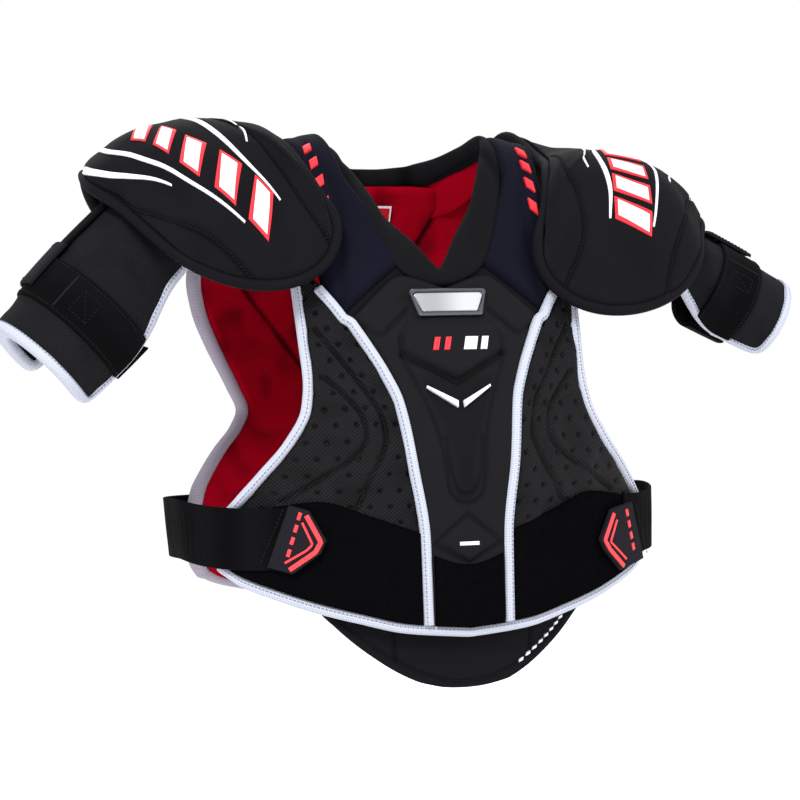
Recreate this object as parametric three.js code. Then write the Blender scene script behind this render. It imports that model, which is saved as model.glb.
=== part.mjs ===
// Ice hockey shoulder pads, senior size Large: a front and back vest joined by padded yokes and a collar,
// floating shoulder caps, bicep guards on link straps, elastic side straps and a hanging belly pad.
// Millimetres. +Z is up, -Y is the wearer's front and +X is the wearer's left.
// The origin is midway between the shoulders, where the yokes rest on the wearer.

import * as THREE from 'three';

// ---- Driving dimensions of the wearer's form, which every vest layer is measured outward from.
const HALF_WIDTH = 198;
const SPRING_LINE = -140; // below this height the form is upright, above it the shoulders arch over
const FRONT = { side: -1, round: 1.9, vault: 2, depth: (z) => 82 + 42 * smooth((-60 - z) / 200) };
const BACK = { side: 1, round: 2.6, vault: 3, depth: (z) => 84 + 22 * smooth((-20 - z) / 110) };
const CREST = { height: 12, flat: 60, drop: 16, reach: 75, power: 1.6 };
const LEAN = 0.02; // the girdle tilts, so the wearer's right shoulder sits higher

// ---- Layers, as heights [inner, outer] above the form.
const LINING = [0, 3.5];
const PLATE = [4.8, 7.8];
const PANEL = [5, 12];
const CORE_PAD = [8.6, 14];
const SIDE_BAND = [13, 15.2];
const CENTRE_BAND = [15, 17];
const BINDING = [-0.6, 12.8];
const BINDING_REACH = [-3.4, 2.2]; // how far the binding reaches inside and outside an outline
const YOKE_LINING = [0, 3.2];
const YOKE_PAD = [4.4, 15];
const SIDE_STRAP = [16.2, 18.2];
const HOOK_TAB = [19.2, 21.2];
const TAB_BADGE = [22, 24];
const BELLY_PAD = [-8, -1.6];
const EDGE_INSET = 7; // panels stop this far inside an outline, and the binding fills the rest
const SEAM = 1.6; // half of the gap at a sewn seam

// ---- Shoulder caps, on the wearer's left; the right one is mirrored.
const CAP = {
  top: [185, 0, 30],
  core: [185, 0, -60],
  arc: 64 * Math.PI / 180, // how far round its arc the dome turns before the rim
  backShift: 20,
  backRaise: 34,
  cells: 8,
  fill: 0.955, // layers end at this share of the way to the piping
  cover: [-5, 0],
  shell: [-7.6, -5.6],
  lining: [-12, -8.2],
  piping: 4.2,
  hinge: [128, 0, 20],
};
const CAP_RIM = [
  [276, -10, -24], [262, -45, -42], [245, -80, -68], [215, -103, -100], [175, -111, -118],
  [135, -111, -119], [108, -106, -106], [94, -100, -85], [97, -90, -52], [107, -68, -17],
  [119, -38, 10], [129, 0, 22],
];

// ---- Bicep guards: a C round the upper arm, open towards the body and flared towards the elbow.
const GUARD = {
  length: [-72, 78],
  backWrap: (a) => -78 - 0.2 * a,
  cells: 14,
  cover: [-3, 0],
  plate: [-7, -3.6],
  lining: [-12, -7.6],
  band: [0.8, 2.8],
  closing: [1, 3],
  closingTab: [4, 6.2],
  link: [0.8, 2.8],
  linkTab: [3.8, 6],
};
const ARMS = {
  left: {
    side: 1, middle: [260, -5, -102], droop: 27, up: [40, 3], fore: [44, 3], wrap: [104, 150],
    sag: 8, capTilt: -4, capRise: -14,
  },
  right: {
    side: -1, middle: [-261, -5, -107], droop: 45, up: [53, 4], fore: [52, 4], wrap: [118, 150],
    sag: 19, capTilt: -1, capRise: 10,
  },
};

// ---- Outlines, as [position, value] pairs that a smooth curve runs through.
const sternumEdge = through([
  [-385, 33], [-310, 34], [-250, 42], [-203, 49], [-181, 57], [-160, 67], [-130, 83],
]);
const sternumTop = through([[0, -109], [38, -98], [60, -113], [83, -134]]);
const frontEdge = through([
  [-325, 178], [-300, 181], [-278, 168], [-255, 151], [-232, 133], [-205, 119],
  [-180, 116], [-150, 117], [-120, 118], [-75, 119],
]);
const frontHem = through([
  [0, -388], [50, -383], [85, -374], [115, -365], [145, -353], [165, -343], [178, -331],
]);
const frontTop = through([[0, -110], [38, -100], [60, -116], [84, -139], [100, -124], [113, -108]]);
const bandTop = through([[35, -307], [75, -291], [113, -278], [140, -281], [172, -292]]);
const backEdge = through([
  [-345, 158], [-330, 167], [-300, 169], [-271, 163], [-256, 154], [-236, 139], [-219, 124],
  [-203, 117], [-184, 125], [-144, 146], [-116, 158], [-93, 163], [-60, 157], [-26, 137],
]);
const backHem = through([
  [0, -366], [60, -364], [100, -358], [130, -352], [150, -346], [160, -340],
]);
const spineEdge = through([[-350, 30], [-250, 34], [-150, 48], [-90, 70], [-36, 60]]);
const bellyEdge = through([
  [-430, 26], [-426, 41], [-403, 79], [-380, 105], [-366, 117], [-340, 122],
]);
const yokeInner = through([[18, 40], [36, 59], [55, 78], [90, 82], [120, 69], [134, 47]]);
const yokeOuter = through([[4, 84], [12, 98], [27, 102], [49, 102], [90, 110], [130, 112]]);
const SIDE_STRAPS = {
  reach: { left: [46, -42], right: [46, -50] },
  middle: (angle) => -299 - 8 * smooth(-angle / 38),
  halfHeight: 25,
  drawnIn: [6, 12],
  corners: {
    left: [[150, -289], [127, -294], [115, -318], [120, -328], [136, -345], [163, -337]],
    right: [[131, -280], [118, -285], [107, -309], [111, -319], [130, -335], [146, -329]],
  },
};
const FRONT_TOP = -106;
const CHEST_TOP = -138;
const BACK_TOP = -21.5;

// Collar: the rim round the neck, and the seam where it meets the vest; the left half, front to back.
const COLLAR_RIM = [
  [0, -80, -96], [22, -66, -64], [42, -50, -38], [58, -30, -5], [70, 0, 22],
  [62, 32, 15], [40, 52, 5], [0, 60, 1],
];
const COLLAR_SEAM = [
  [0, -95, -103], [19, -93, -99], [36, -90, -88], [54, -75, -48], [72, -42, -10],
  [79, 2, 6], [68, 42, -2], [42, 68, -12], [0, 75, -17],
];
const COLLAR = { tilt: 0.06, steps: 32, sides: 8, halfThickness: 6.5, seamGap: 3 };

// ---- Number and curve helpers.
function smooth(t) {
  const held = Math.min(Math.max(t, 0), 1);
  return held * held * (3 - 2 * held);
}

function mix(from, to, t) {
  return from + (to - from) * t;
}

function vec(x, y, z) {
  return new THREE.Vector3(x, y, z);
}

// A smooth curve that doesn't overshoot, through pairs in rising order; flat beyond its ends.
function through(pairs) {
  const rise = (i) => (pairs[i + 1][1] - pairs[i][1]) / (pairs[i + 1][0] - pairs[i][0]);
  const slopes = pairs.map((pair, i) => {
    if (i === 0) return rise(0);
    if (i === pairs.length - 1) return rise(i - 1);
    const before = rise(i - 1);
    const after = rise(i);
    return before * after <= 0 ? 0 : 2 * before * after / (before + after);
  });
  return (position) => {
    if (position <= pairs[0][0]) return pairs[0][1];
    if (position >= pairs[pairs.length - 1][0]) return pairs[pairs.length - 1][1];
    const i = pairs.findIndex((pair) => pair[0] > position) - 1;
    const width = pairs[i + 1][0] - pairs[i][0];
    const t = (position - pairs[i][0]) / width;
    const ease = t * t * (3 - 2 * t);
    const leave = t * (1 - t) * (1 - t) * width * slopes[i];
    const arrive = t * t * (t - 1) * width * slopes[i + 1];
    return mix(pairs[i][1], pairs[i + 1][1], ease) + leave + arrive;
  };
}

// Points spaced evenly from 0 to 1, both ends included.
function steps(count) {
  return Array.from({ length: count + 1 }, (_, i) => i / count);
}

// ---- Solids.
// Turns triangles into a closed geometry whose faces point out.
function solid(points, triangles) {
  let volume = 0;
  for (const [a, b, c] of triangles) {
    volume += points[a].dot(points[b].clone().cross(points[c]));
  }
  const facing = volume < 0 ? triangles.map(([a, b, c]) => [a, c, b]) : triangles;
  const geometry = new THREE.BufferGeometry();
  geometry.setAttribute('position', new THREE.Float32BufferAttribute(
    points.flatMap((point) => point.toArray()), 3));
  geometry.setIndex(facing.flat());
  geometry.computeVertexNormals();
  return geometry;
}

// A padded sheet: the space between two surfaces sampled on one grid.
function shell(columns, rows, outer, inner) {
  const points = [outer, inner].flatMap((surface) =>
    steps(rows).flatMap((v) => steps(columns).map((u) => surface(u, v))));
  const width = columns + 1;
  const layer = width * (rows + 1);
  const triangles = [];
  const quad = (a, b, c, d) => triangles.push([a, b, c], [a, c, d]);
  for (let row = 0; row < rows; row += 1) {
    for (let column = 0; column < columns; column += 1) {
      const a = row * width + column;
      quad(a, a + 1, a + 1 + width, a + width);
      quad(layer + a, layer + a + width, layer + a + width + 1, layer + a + 1);
    }
  }
  const wall = (a, b) => quad(a, layer + a, layer + b, b);
  for (let column = 0; column < columns; column += 1) {
    wall(column, column + 1);
    wall(rows * width + column + 1, rows * width + column);
  }
  for (let row = 0; row < rows; row += 1) {
    wall((row + 1) * width, row * width);
    wall(row * width + columns, (row + 1) * width + columns);
  }
  return solid(points, triangles);
}

// A bar through a list of rings with the same number of points, joined end to end or capped.
function bar(rings, closed) {
  const sides = rings[0].length;
  const points = rings.flat();
  const triangles = [];
  const last = closed ? rings.length : rings.length - 1;
  for (let i = 0; i < last; i += 1) {
    const here = i * sides;
    const next = ((i + 1) % rings.length) * sides;
    for (let k = 0; k < sides; k += 1) {
      const other = (k + 1) % sides;
      triangles.push([here + k, here + other, next + other], [here + k, next + other, next + k]);
    }
  }
  if (!closed) {
    const end = (rings.length - 1) * sides;
    for (let k = 1; k < sides - 1; k += 1) {
      triangles.push([0, k + 1, k], [end, end + k, end + k + 1]);
    }
  }
  return solid(points, triangles);
}

// ---- Surfaces: at(a, b) gives a point, core(point) a place inside it, step the size of a small move.
function leaned(x, y, z) {
  return vec(x, y, z - LEAN * x * smooth((z - SPRING_LINE + 10) / 140));
}

function crestHeight(x) {
  return CREST.height - CREST.drop * (Math.max(Math.abs(x) - CREST.flat, 0) / CREST.reach) ** CREST.power;
}

function ring(x, round) {
  return (1 - Math.min(Math.abs(x) / HALF_WIDTH, 1) ** round) ** (1 / round);
}

function torso(face) {
  return {
    step: 0.4,
    core: (point) => vec(point.x, 0, Math.min(point.z, SPRING_LINE)),
    at: (x, z) => {
      const climb = Math.max((z - SPRING_LINE) / (crestHeight(x) - SPRING_LINE), 0);
      const vault = Math.max(1 - climb ** face.vault, 0) ** (1 / face.vault);
      return leaned(x, face.side * face.depth(z) * ring(x, face.round) * vault, z);
    },
  };
}

const chestForm = torso(FRONT);
const backForm = torso(BACK);

// Over the shoulder: the angle runs from 0 at the front spring line, over the crest at 90, to the back.
const shoulderForm = {
  step: 0.4,
  core: (point) => vec(point.x, 0, SPRING_LINE),
  at: (x, angle) => {
    const turn = angle * Math.PI / 180;
    const face = angle < 90 ? FRONT : BACK;
    const z = mix(SPRING_LINE, crestHeight(x), Math.abs(Math.sin(turn)) ** (2 / face.vault));
    const out = Math.abs(Math.cos(turn)) ** (2 / face.vault);
    return leaned(x, face.side * face.depth(z) * ring(x, face.round) * out, z);
  },
};

// Round one flank of the form: the angle is 0 at the side, negative towards the front.
function flankForm(side) {
  return {
    step: 0.4,
    core: (point) => vec(0, 0, point.z),
    at: (angle, z) => {
      const turn = angle * Math.PI / 180;
      const face = angle < 0 ? FRONT : BACK;
      const x = HALF_WIDTH * Math.abs(Math.cos(turn)) ** (2 / face.round);
      const y = face.side * face.depth(z) * Math.abs(Math.sin(turn)) ** (2 / face.round);
      return vec(side * x, y, z);
    },
  };
}

// The upper arm: a is the distance along it, b the angle round it, 0 on top and positive to the front.
function armForm(arm) {
  const droop = arm.droop * Math.PI / 180;
  const along = vec(arm.side * Math.cos(droop), 0, -Math.sin(droop));
  const up = vec(arm.side * Math.sin(droop), 0, Math.cos(droop));
  const fore = vec(0, -1, 0);
  const middle = vec(...arm.middle);
  const radius = ([full, taper], a) => full - taper * (a / 80) ** 2;
  return {
    step: 0.4,
    along,
    core: (point) => {
      const reach = point.clone().sub(middle).dot(along);
      return middle.clone().addScaledVector(along, reach);
    },
    at: (a, b) => {
      const turn = b * Math.PI / 180;
      return middle.clone().addScaledVector(along, a)
        .addScaledVector(up, radius(arm.up, a) * Math.cos(turn))
        .addScaledVector(fore, radius(arm.fore, a) * Math.sin(turn));
    },
  };
}

// The cap's rim as a closed curve, and its pose on the tilted girdle.
const capRim = new THREE.CatmullRomCurve3([
  ...CAP_RIM,
  ...CAP_RIM.slice(1, -1).reverse().map(([x, y, z]) => [x, CAP.backShift - y, z + CAP.backRaise]),
].map((point) => vec(...point)), true);

function posed(arm, point) {
  const tilt = arm.capTilt * Math.PI / 180;
  const [hingeX, , hingeZ] = CAP.hinge;
  const x = point.x - hingeX;
  const z = point.z - hingeZ;
  return vec(
    arm.side * (hingeX + x * Math.cos(tilt) - z * Math.sin(tilt)),
    point.y,
    hingeZ + arm.capRise + x * Math.sin(tilt) + z * Math.cos(tilt),
  );
}

// The dome over a disc of radius 1: its rim at radius 1, with +a outward and -b to the front.
function capForm(arm) {
  const top = vec(...CAP.top);
  return {
    step: 0.004,
    core: () => posed(arm, vec(...CAP.core)),
    at: (a, b) => {
      const reach = Math.hypot(a, b);
      const round = (1 - Math.atan2(b, a) / (2 * Math.PI)) % 1;
      const spoke = capRim.getPoint((1 + round) % 1).sub(top);
      const spread = Math.sin(reach * CAP.arc) / Math.sin(CAP.arc);
      const fall = (1 - Math.cos(reach * CAP.arc)) / (1 - Math.cos(CAP.arc));
      const point = vec(top.x + spoke.x * spread, top.y + spoke.y * spread, top.z + spoke.z * fall);
      return posed(arm, point);
    },
  };
}

// The point at a height above a surface.
function raised(surface, [a, b], height) {
  const { step } = surface;
  const point = surface.at(a, b);
  const alongA = surface.at(a + step, b).sub(surface.at(a - step, b));
  const alongB = surface.at(a, b + step).sub(surface.at(a, b - step));
  const normal = alongA.cross(alongB).normalize();
  if (normal.dot(point.clone().sub(surface.core(point))) < 0) normal.negate();
  return point.addScaledVector(normal, height);
}

// A padded piece lying on a surface, where spread(u, v) gives the surface's own coordinates.
function pad(surface, spread, columns, rows, [low, high]) {
  const layer = (height) => (u, v) => raised(surface, spread(u, v), height);
  return shell(columns, rows, layer(high), layer(low));
}

// A strip along an outline on a surface. Its section is a list of [distance outside, height] pairs.
function edging(surface, outline, section, closed, outward) {
  const count = outline.length;
  const rings = outline.map(([a, b], i) => {
    const before = outline[closed ? (i + count - 1) % count : Math.max(i - 1, 0)];
    const after = outline[closed ? (i + 1) % count : Math.min(i + 1, count - 1)];
    const side = new THREE.Vector2(after[1] - before[1], before[0] - after[0]);
    side.normalize().multiplyScalar(outward * surface.step);
    const away = surface.at(a + side.x, b + side.y).sub(surface.at(a - side.x, b - side.y)).normalize();
    return section.map(([out, height]) => raised(surface, [a, b], height).addScaledVector(away, out));
  });
  return bar(rings, closed);
}

function flatSection(near, far, [low, high]) {
  return [[near, low], [far, low], [far, high], [near, high]];
}

function roundSection(out, height, radius, sides) {
  return Array.from({ length: sides }, (_, k) => {
    const turn = 2 * Math.PI * k / sides;
    return [out + radius * Math.cos(turn), height + radius * Math.sin(turn)];
  });
}

// ---- Spreads: from (u, v) in the unit square to a surface's coordinates.
// Fills four edges: near and far run with u, start and end run with v.
function between(near, far, start, end) {
  return (u, v) => [0, 1].map((k) => (
    (1 - v) * near(u)[k] + v * far(u)[k] + (1 - u) * start(v)[k] + u * end(v)[k]
    - (1 - u) * (1 - v) * near(0)[k] - u * (1 - v) * near(1)[k]
    - (1 - u) * v * far(0)[k] - u * v * far(1)[k]
  ));
}

// An edge that follows x(z) from one height to another.
function down(edge, from, to) {
  return (t) => {
    const z = mix(from, to, t);
    return [edge(z), z];
  };
}

// An edge that follows z(|x|) from one place across to another.
function across(level, from, to) {
  return (t) => {
    const x = mix(from, to, t);
    return [x, level(Math.abs(x))];
  };
}

// An edge along a few straight stretches.
function bent(...corners) {
  return (t) => {
    const place = t * (corners.length - 1);
    const i = Math.min(Math.floor(place), corners.length - 2);
    return [0, 1].map((k) => mix(corners[i][k], corners[i + 1][k], place - i));
  };
}

function rectangle([fromA, toA], [fromB, toB]) {
  return (u, v) => [mix(fromA, toA, u), mix(fromB, toB, v)];
}

// The unit square stretched over a disc.
function disc(radius) {
  return (u, v) => {
    const a = 2 * u - 1;
    const b = 2 * v - 1;
    return [radius * a * Math.sqrt(1 - b * b / 2), radius * b * Math.sqrt(1 - a * a / 2)];
  };
}

const mirrored = (side, spread) => (u, v) => {
  const [x, z] = spread(u, v);
  return [side * x, z];
};
const inside = (edge, inset) => (z) => edge(z) - inset;
const aboveHem = (hem, inset) => (x) => hem(x) + inset;

// ---- The assembly.
const shoulderPads = new THREE.Group();
const finish = (color, roughness, metalness = 0) => ({ color, roughness, metalness });
const FINISHES = {
  black_fabric: finish(0x17171b, 0.9),
  charcoal_fabric: finish(0x26262a, 0.9),
  woven_mesh: finish(0x1d1e22, 0.75),
  navy_fabric: finish(0x13152a, 0.85),
  red_lining: finish(0x8c0a1c, 0.85),
  white_binding: finish(0xdfe3ee, 0.8),
  loop_velour: finish(0x0b0b0d, 1),
  elastic_webbing: finish(0x111113, 0.85),
  red_rubber: finish(0xe0333a, 0.55),
  silver_plastic: finish(0xc9ccd0, 0.35, 0.6),
  moulded_plastic: finish(0x1b1b1e, 0.5),
};

function add(name, geometry, slot) {
  const mesh = new THREE.Mesh(geometry, new THREE.MeshStandardMaterial(FINISHES[slot]));
  mesh.name = name;
  shoulderPads.add(mesh);
  return mesh;
}

// ---- Vest front.
function outlineOf(edge, hem, top, corner, rows, columns) {
  const side = steps(rows).map((t) => down(edge, top, corner)(t));
  const bottom = steps(columns).slice(1, -1).map((t) => across(hem, edge(corner), -edge(corner))(t));
  return [...side, ...bottom, ...side.map(([x, z]) => [-x, z]).reverse()];
}

function buildChest() {
  const panelEdge = inside(frontEdge, EDGE_INSET);
  const hem = aboveHem(frontHem, EDGE_INSET);
  const corner = hem(panelEdge(-335));
  add('chest_liner', pad(chestForm, between(
    across(frontTop, -panelEdge(FRONT_TOP), panelEdge(FRONT_TOP)),
    across(hem, -panelEdge(corner), panelEdge(corner)),
    down((z) => -panelEdge(z), frontTop(112), corner),
    down(panelEdge, frontTop(112), corner),
  ), 16, 10, LINING), 'red_lining');

  const sternum = (inset, drop) => between(
    across((x) => sternumTop(x) - drop, -(83 - inset), 83 - inset),
    across(aboveHem(frontHem, EDGE_INSET + drop), -(33 - inset), 33 - inset),
    down((z) => inset - sternumEdge(z), sternumTop(83) - drop, frontHem(33) + EDGE_INSET + drop),
    down((z) => sternumEdge(z) - inset, sternumTop(83) - drop, frontHem(33) + EDGE_INSET + drop),
  );
  add('sternum_panel', pad(chestForm, sternum(4.4, 2), 6, 14, CORE_PAD), 'black_fabric');
  add('sternum_plate', pad(chestForm, sternum(14, 12), 4, 10, PLATE), 'moulded_plastic');
  const piped = steps(18).map((t) => down(sternumEdge, CHEST_TOP, frontHem(33) + EDGE_INSET)(t));
  const pipeSection = flatSection(-3.4, 3.4, [5, 14.6]);
  for (const [name, side] of [['left', 1], ['right', -1]]) {
    const chest = between(
      bent([sternumEdge(CHEST_TOP) + 4.6, CHEST_TOP - 2], [panelEdge(FRONT_TOP) - 1, FRONT_TOP]),
      across(hem, sternumEdge(-385) + 4.6, panelEdge(corner)),
      down((z) => sternumEdge(z) + 4.6, CHEST_TOP - 2, hem(sternumEdge(-385) + 4.6)),
      down(panelEdge, FRONT_TOP, corner),
    );
    add(`${name}_chest_panel`, pad(chestForm, mirrored(side, chest), 6, 12, PANEL), 'woven_mesh');
    const outline = piped.map(([x, z]) => [side * x, z]);
    add(`${name}_sternum_piping`, edging(chestForm, outline, pipeSection, false, 1), 'white_binding');
    const bandEdge = [sternumEdge(-310) + 8, panelEdge(-300) - 3];
    const band = between(
      across(bandTop, ...bandEdge),
      across(aboveHem(frontHem, EDGE_INSET + 1), bandEdge[0], panelEdge(corner) - 2),
      down(() => bandEdge[0], bandTop(bandEdge[0]), frontHem(bandEdge[0]) + EDGE_INSET + 1),
      bent([bandEdge[1], bandTop(bandEdge[1])], [panelEdge(corner) - 2, corner + 3]),
    );
    add(`${name}_loop_band`, pad(chestForm, mirrored(side, band), 7, 4, SIDE_BAND), 'loop_velour');
  }
  const centreBand = between(
    across(() => -324, -25, 25),
    across(aboveHem(frontHem, EDGE_INSET + 2), -25, 25),
    bent([-25, -324], [-25, frontHem(25) + EDGE_INSET + 2]),
    bent([25, -324], [25, frontHem(25) + EDGE_INSET + 2]),
  );
  add('centre_loop_band', pad(chestForm, centreBand, 4, 3, CENTRE_BAND), 'loop_velour');
  const border = outlineOf(frontEdge, frontHem, FRONT_TOP, -337, 14, 24);
  add('chest_binding', edging(chestForm, border, flatSection(...BINDING_REACH, BINDING), false, -1), 'white_binding');
}

// The badge: a plate in a frame, lying flat on the sternum panel.
function buildBadge() {
  const top = 33;
  const bottom = 28;
  const half = 11.5;
  const trapezoid = (Outline, inset) => {
    const shape = new Outline();
    shape.moveTo(-bottom + inset, -half + inset);
    shape.lineTo(bottom - inset, -half + inset);
    shape.lineTo(top - inset, half - inset);
    shape.lineTo(-top + inset, half - inset);
    shape.closePath();
    return shape;
  };
  const frame = trapezoid(THREE.Shape, 0);
  frame.holes.push(trapezoid(THREE.Path, 3));
  const place = raised(chestForm, [0, -125], CORE_PAD[1] + 0.5);
  const below = raised(chestForm, [0, -135], CORE_PAD[1] + 0.5);
  const tilt = Math.atan2(place.y - below.y, place.z - below.z);
  for (const [name, shape, depth, slot] of [
    ['badge_frame', frame, 3, 'silver_plastic'],
    ['badge_plate', trapezoid(THREE.Shape, 3.5), 2, 'moulded_plastic'],
  ]) {
    const mesh = add(name, new THREE.ExtrudeGeometry(shape, { depth, bevelEnabled: false }), slot);
    mesh.position.copy(place);
    mesh.rotation.x = Math.PI / 2 - tilt;
  }
}

function buildBellyPad() {
  const low = -430;
  const high = -339;
  add('belly_pad', pad(chestForm, between(
    across(() => high, -bellyEdge(high), bellyEdge(high)),
    across((x) => low - 4 * Math.sqrt(1 - (x / 27) ** 2), -bellyEdge(low), bellyEdge(low)),
    down((z) => -bellyEdge(z), high, low),
    down(bellyEdge, high, low),
  ), 12, 6, BELLY_PAD), 'black_fabric');
}

// ---- Vest back.
function buildBack() {
  const panelEdge = inside(backEdge, EDGE_INSET);
  const hem = aboveHem(backHem, EDGE_INSET);
  const corner = hem(panelEdge(-342));
  const top = () => BACK_TOP;
  const liningEdge = inside(backEdge, EDGE_INSET + 2);
  add('back_liner', pad(backForm, between(
    across(top, -liningEdge(BACK_TOP), liningEdge(BACK_TOP)),
    across(hem, -liningEdge(corner), liningEdge(corner)),
    down((z) => -liningEdge(z), BACK_TOP, corner),
    down(liningEdge, BACK_TOP, corner),
  ), 14, 12, LINING), 'red_lining');

  const spine = (inset, drop) => between(
    across(() => BACK_TOP - drop, inset - spineEdge(BACK_TOP), spineEdge(BACK_TOP) - inset),
    across(() => backHem(0) + EDGE_INSET + drop, inset - spineEdge(-350), spineEdge(-350) - inset),
    down((z) => inset - spineEdge(z), BACK_TOP - drop, backHem(0) + EDGE_INSET + drop),
    down((z) => spineEdge(z) - inset, BACK_TOP - drop, backHem(0) + EDGE_INSET + drop),
  );
  add('spine_panel', pad(backForm, spine(SEAM, 0), 6, 12, CORE_PAD), 'black_fabric');
  add('spine_plate', pad(backForm, spine(12, 12), 4, 10, PLATE), 'moulded_plastic');
  for (const [name, side] of [['left', 1], ['right', -1]]) {
    const panel = between(
      across(top, spineEdge(BACK_TOP) + SEAM, panelEdge(BACK_TOP)),
      across(hem, spineEdge(-350) + SEAM, panelEdge(corner)),
      down((z) => spineEdge(z) + SEAM, BACK_TOP, hem(spineEdge(-350))),
      down(panelEdge, BACK_TOP, corner),
    );
    add(`${name}_back_panel`, pad(backForm, mirrored(side, panel), 6, 13, PANEL), 'black_fabric');
    const patch = between(
      bent([124, -275], [150, -275]),
      bent([124, -329], [150, -329]),
      bent([124, -275], [124, -329]),
      bent([150, -275], [150, -329]),
    );
    add(`${name}_strap_anchor`, pad(backForm, mirrored(side, patch), 3, 3, SIDE_BAND), 'elastic_webbing');
  }
  const border = outlineOf(backEdge, backHem, BACK_TOP, -344, 17, 22);
  add('back_binding', edging(backForm, border, flatSection(...BINDING_REACH, BINDING), false, -1), 'white_binding');
  const tag = rectangle([-19, 12], [-26, -62]);
  add('neck_tag', pad(backForm, tag, 3, 2, [-3, -1.4]), 'black_fabric');
}

// ---- Shoulders and collar.
function buildYokes() {
  for (const [name, side] of [['left', 1], ['right', -1]]) {
    const yoke = (inset) => between(
      bent([yokeInner(18) + inset, 18 + inset / 2], [yokeOuter(4) - inset / 2, 4 + inset]),
      bent([yokeInner(134) + inset, 134 - inset / 2], [yokeOuter(130) - inset, 130]),
      down((angle) => yokeInner(angle) + inset, 18 + inset / 2, 134 - inset / 2),
      down((angle) => yokeOuter(angle) - inset, 4 + inset, 130),
    );
    add(`${name}_yoke_pad`, pad(shoulderForm, mirrored(side, yoke(1)), 4, 14, YOKE_PAD), 'navy_fabric');
    add(`${name}_yoke_liner`, pad(shoulderForm, mirrored(side, yoke(3)), 3, 14, YOKE_LINING), 'red_lining');
  }
}

function buildCollar() {
  const loop = (half) => new THREE.CatmullRomCurve3([
    ...half,
    ...half.slice(1, -1).reverse().map(([x, y, z]) => [-x, y, z]),
  ].map((point) => vec(...point)), true);
  const rim = loop(COLLAR_RIM);
  const seam = loop(COLLAR_SEAM);
  const rings = Array.from({ length: COLLAR.steps }, (_, i) => {
    const t = i / COLLAR.steps;
    const inner = rim.getPoint(t);
    const width = seam.getPoint(t).sub(inner);
    const length = width.length();
    width.normalize();
    const ahead = rim.getPoint((t + 0.01) % 1).sub(rim.getPoint((t + 0.99) % 1));
    const thick = ahead.cross(width).normalize();
    const half = (length - COLLAR.seamGap) / 2;
    return Array.from({ length: COLLAR.sides }, (__, k) => {
      const turn = 2 * Math.PI * k / COLLAR.sides;
      const point = inner.clone().addScaledVector(width, half - half * Math.cos(turn))
        .addScaledVector(thick, COLLAR.halfThickness * Math.sin(turn));
      return leaned(point.x, point.y, point.z + COLLAR.tilt * point.x);
    });
  });
  add('collar', bar(rings, true), 'charcoal_fabric');
}

// ---- Side straps: drawn in at the waist, between the back anchor and the loop band.
function buildSideStrap(name, side) {
  const flank = flankForm(side);
  const { reach, middle, halfHeight, drawnIn, corners } = SIDE_STRAPS;
  const [start, end] = reach[name];
  const place = (u, v) => {
    const angle = mix(start, end, u);
    return [angle, middle(angle) + mix(halfHeight, -halfHeight, v)];
  };
  const strap = (height) => (u, v) => {
    const [angle, z] = place(u, v);
    const waist = Math.max(Math.sin(Math.PI * (angle + 26) / 60), 0) ** 1.5;
    return raised(flank, [angle, z], height - mix(...drawnIn, v) * waist);
  };
  const [low, high] = SIDE_STRAP;
  add(`${name}_side_strap`, shell(16, 2, strap(high), strap(low)), 'elastic_webbing');
  const [top, shoulder, tip, chin, heel, bottom] = corners[name];
  const moved = ([x, z], right, up) => [x + right, z + up];
  const tab = (grow) => between(
    bent(moved(top, grow, grow), moved(shoulder, 0, grow), moved(tip, -grow, 0)),
    bent(moved(bottom, grow, -grow), moved(heel, 0, -grow), moved(chin, -grow, 0)),
    bent(moved(top, grow, grow), moved(bottom, grow, -grow)),
    bent(moved(tip, -grow, 0), moved(chin, -grow, 0)),
  );
  add(`${name}_side_hook_tab`, pad(chestForm, mirrored(side, tab(0)), 4, 3, HOOK_TAB), 'black_fabric');
  add(`${name}_tab_badge`, pad(chestForm, mirrored(side, tab(-4)), 4, 3, TAB_BADGE), 'red_rubber');
}

// ---- Shoulder caps.
function buildCap(name, arm) {
  const form = capForm(arm);
  const dome = disc(CAP.fill);
  const { cells } = CAP;
  add(`${name}_cap_cover`, pad(form, dome, cells, cells, CAP.cover), 'black_fabric');
  add(`${name}_cap_shell`, pad(form, dome, cells, cells, CAP.shell), 'moulded_plastic');
  add(`${name}_cap_liner`, pad(form, dome, cells, cells, CAP.lining), 'black_fabric');
  const side = steps(cells).slice(0, -1);
  const rim = [
    ...side.map((t) => dome(t, 0)),
    ...side.map((t) => dome(1, t)),
    ...side.map((t) => dome(1 - t, 1)),
    ...side.map((t) => dome(0, 1 - t)),
  ];
  const section = roundSection(CAP.piping + 0.6, -CAP.piping, CAP.piping, 6);
  add(`${name}_cap_piping`, edging(form, rim, section, true, 1), 'black_fabric');
}

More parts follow.
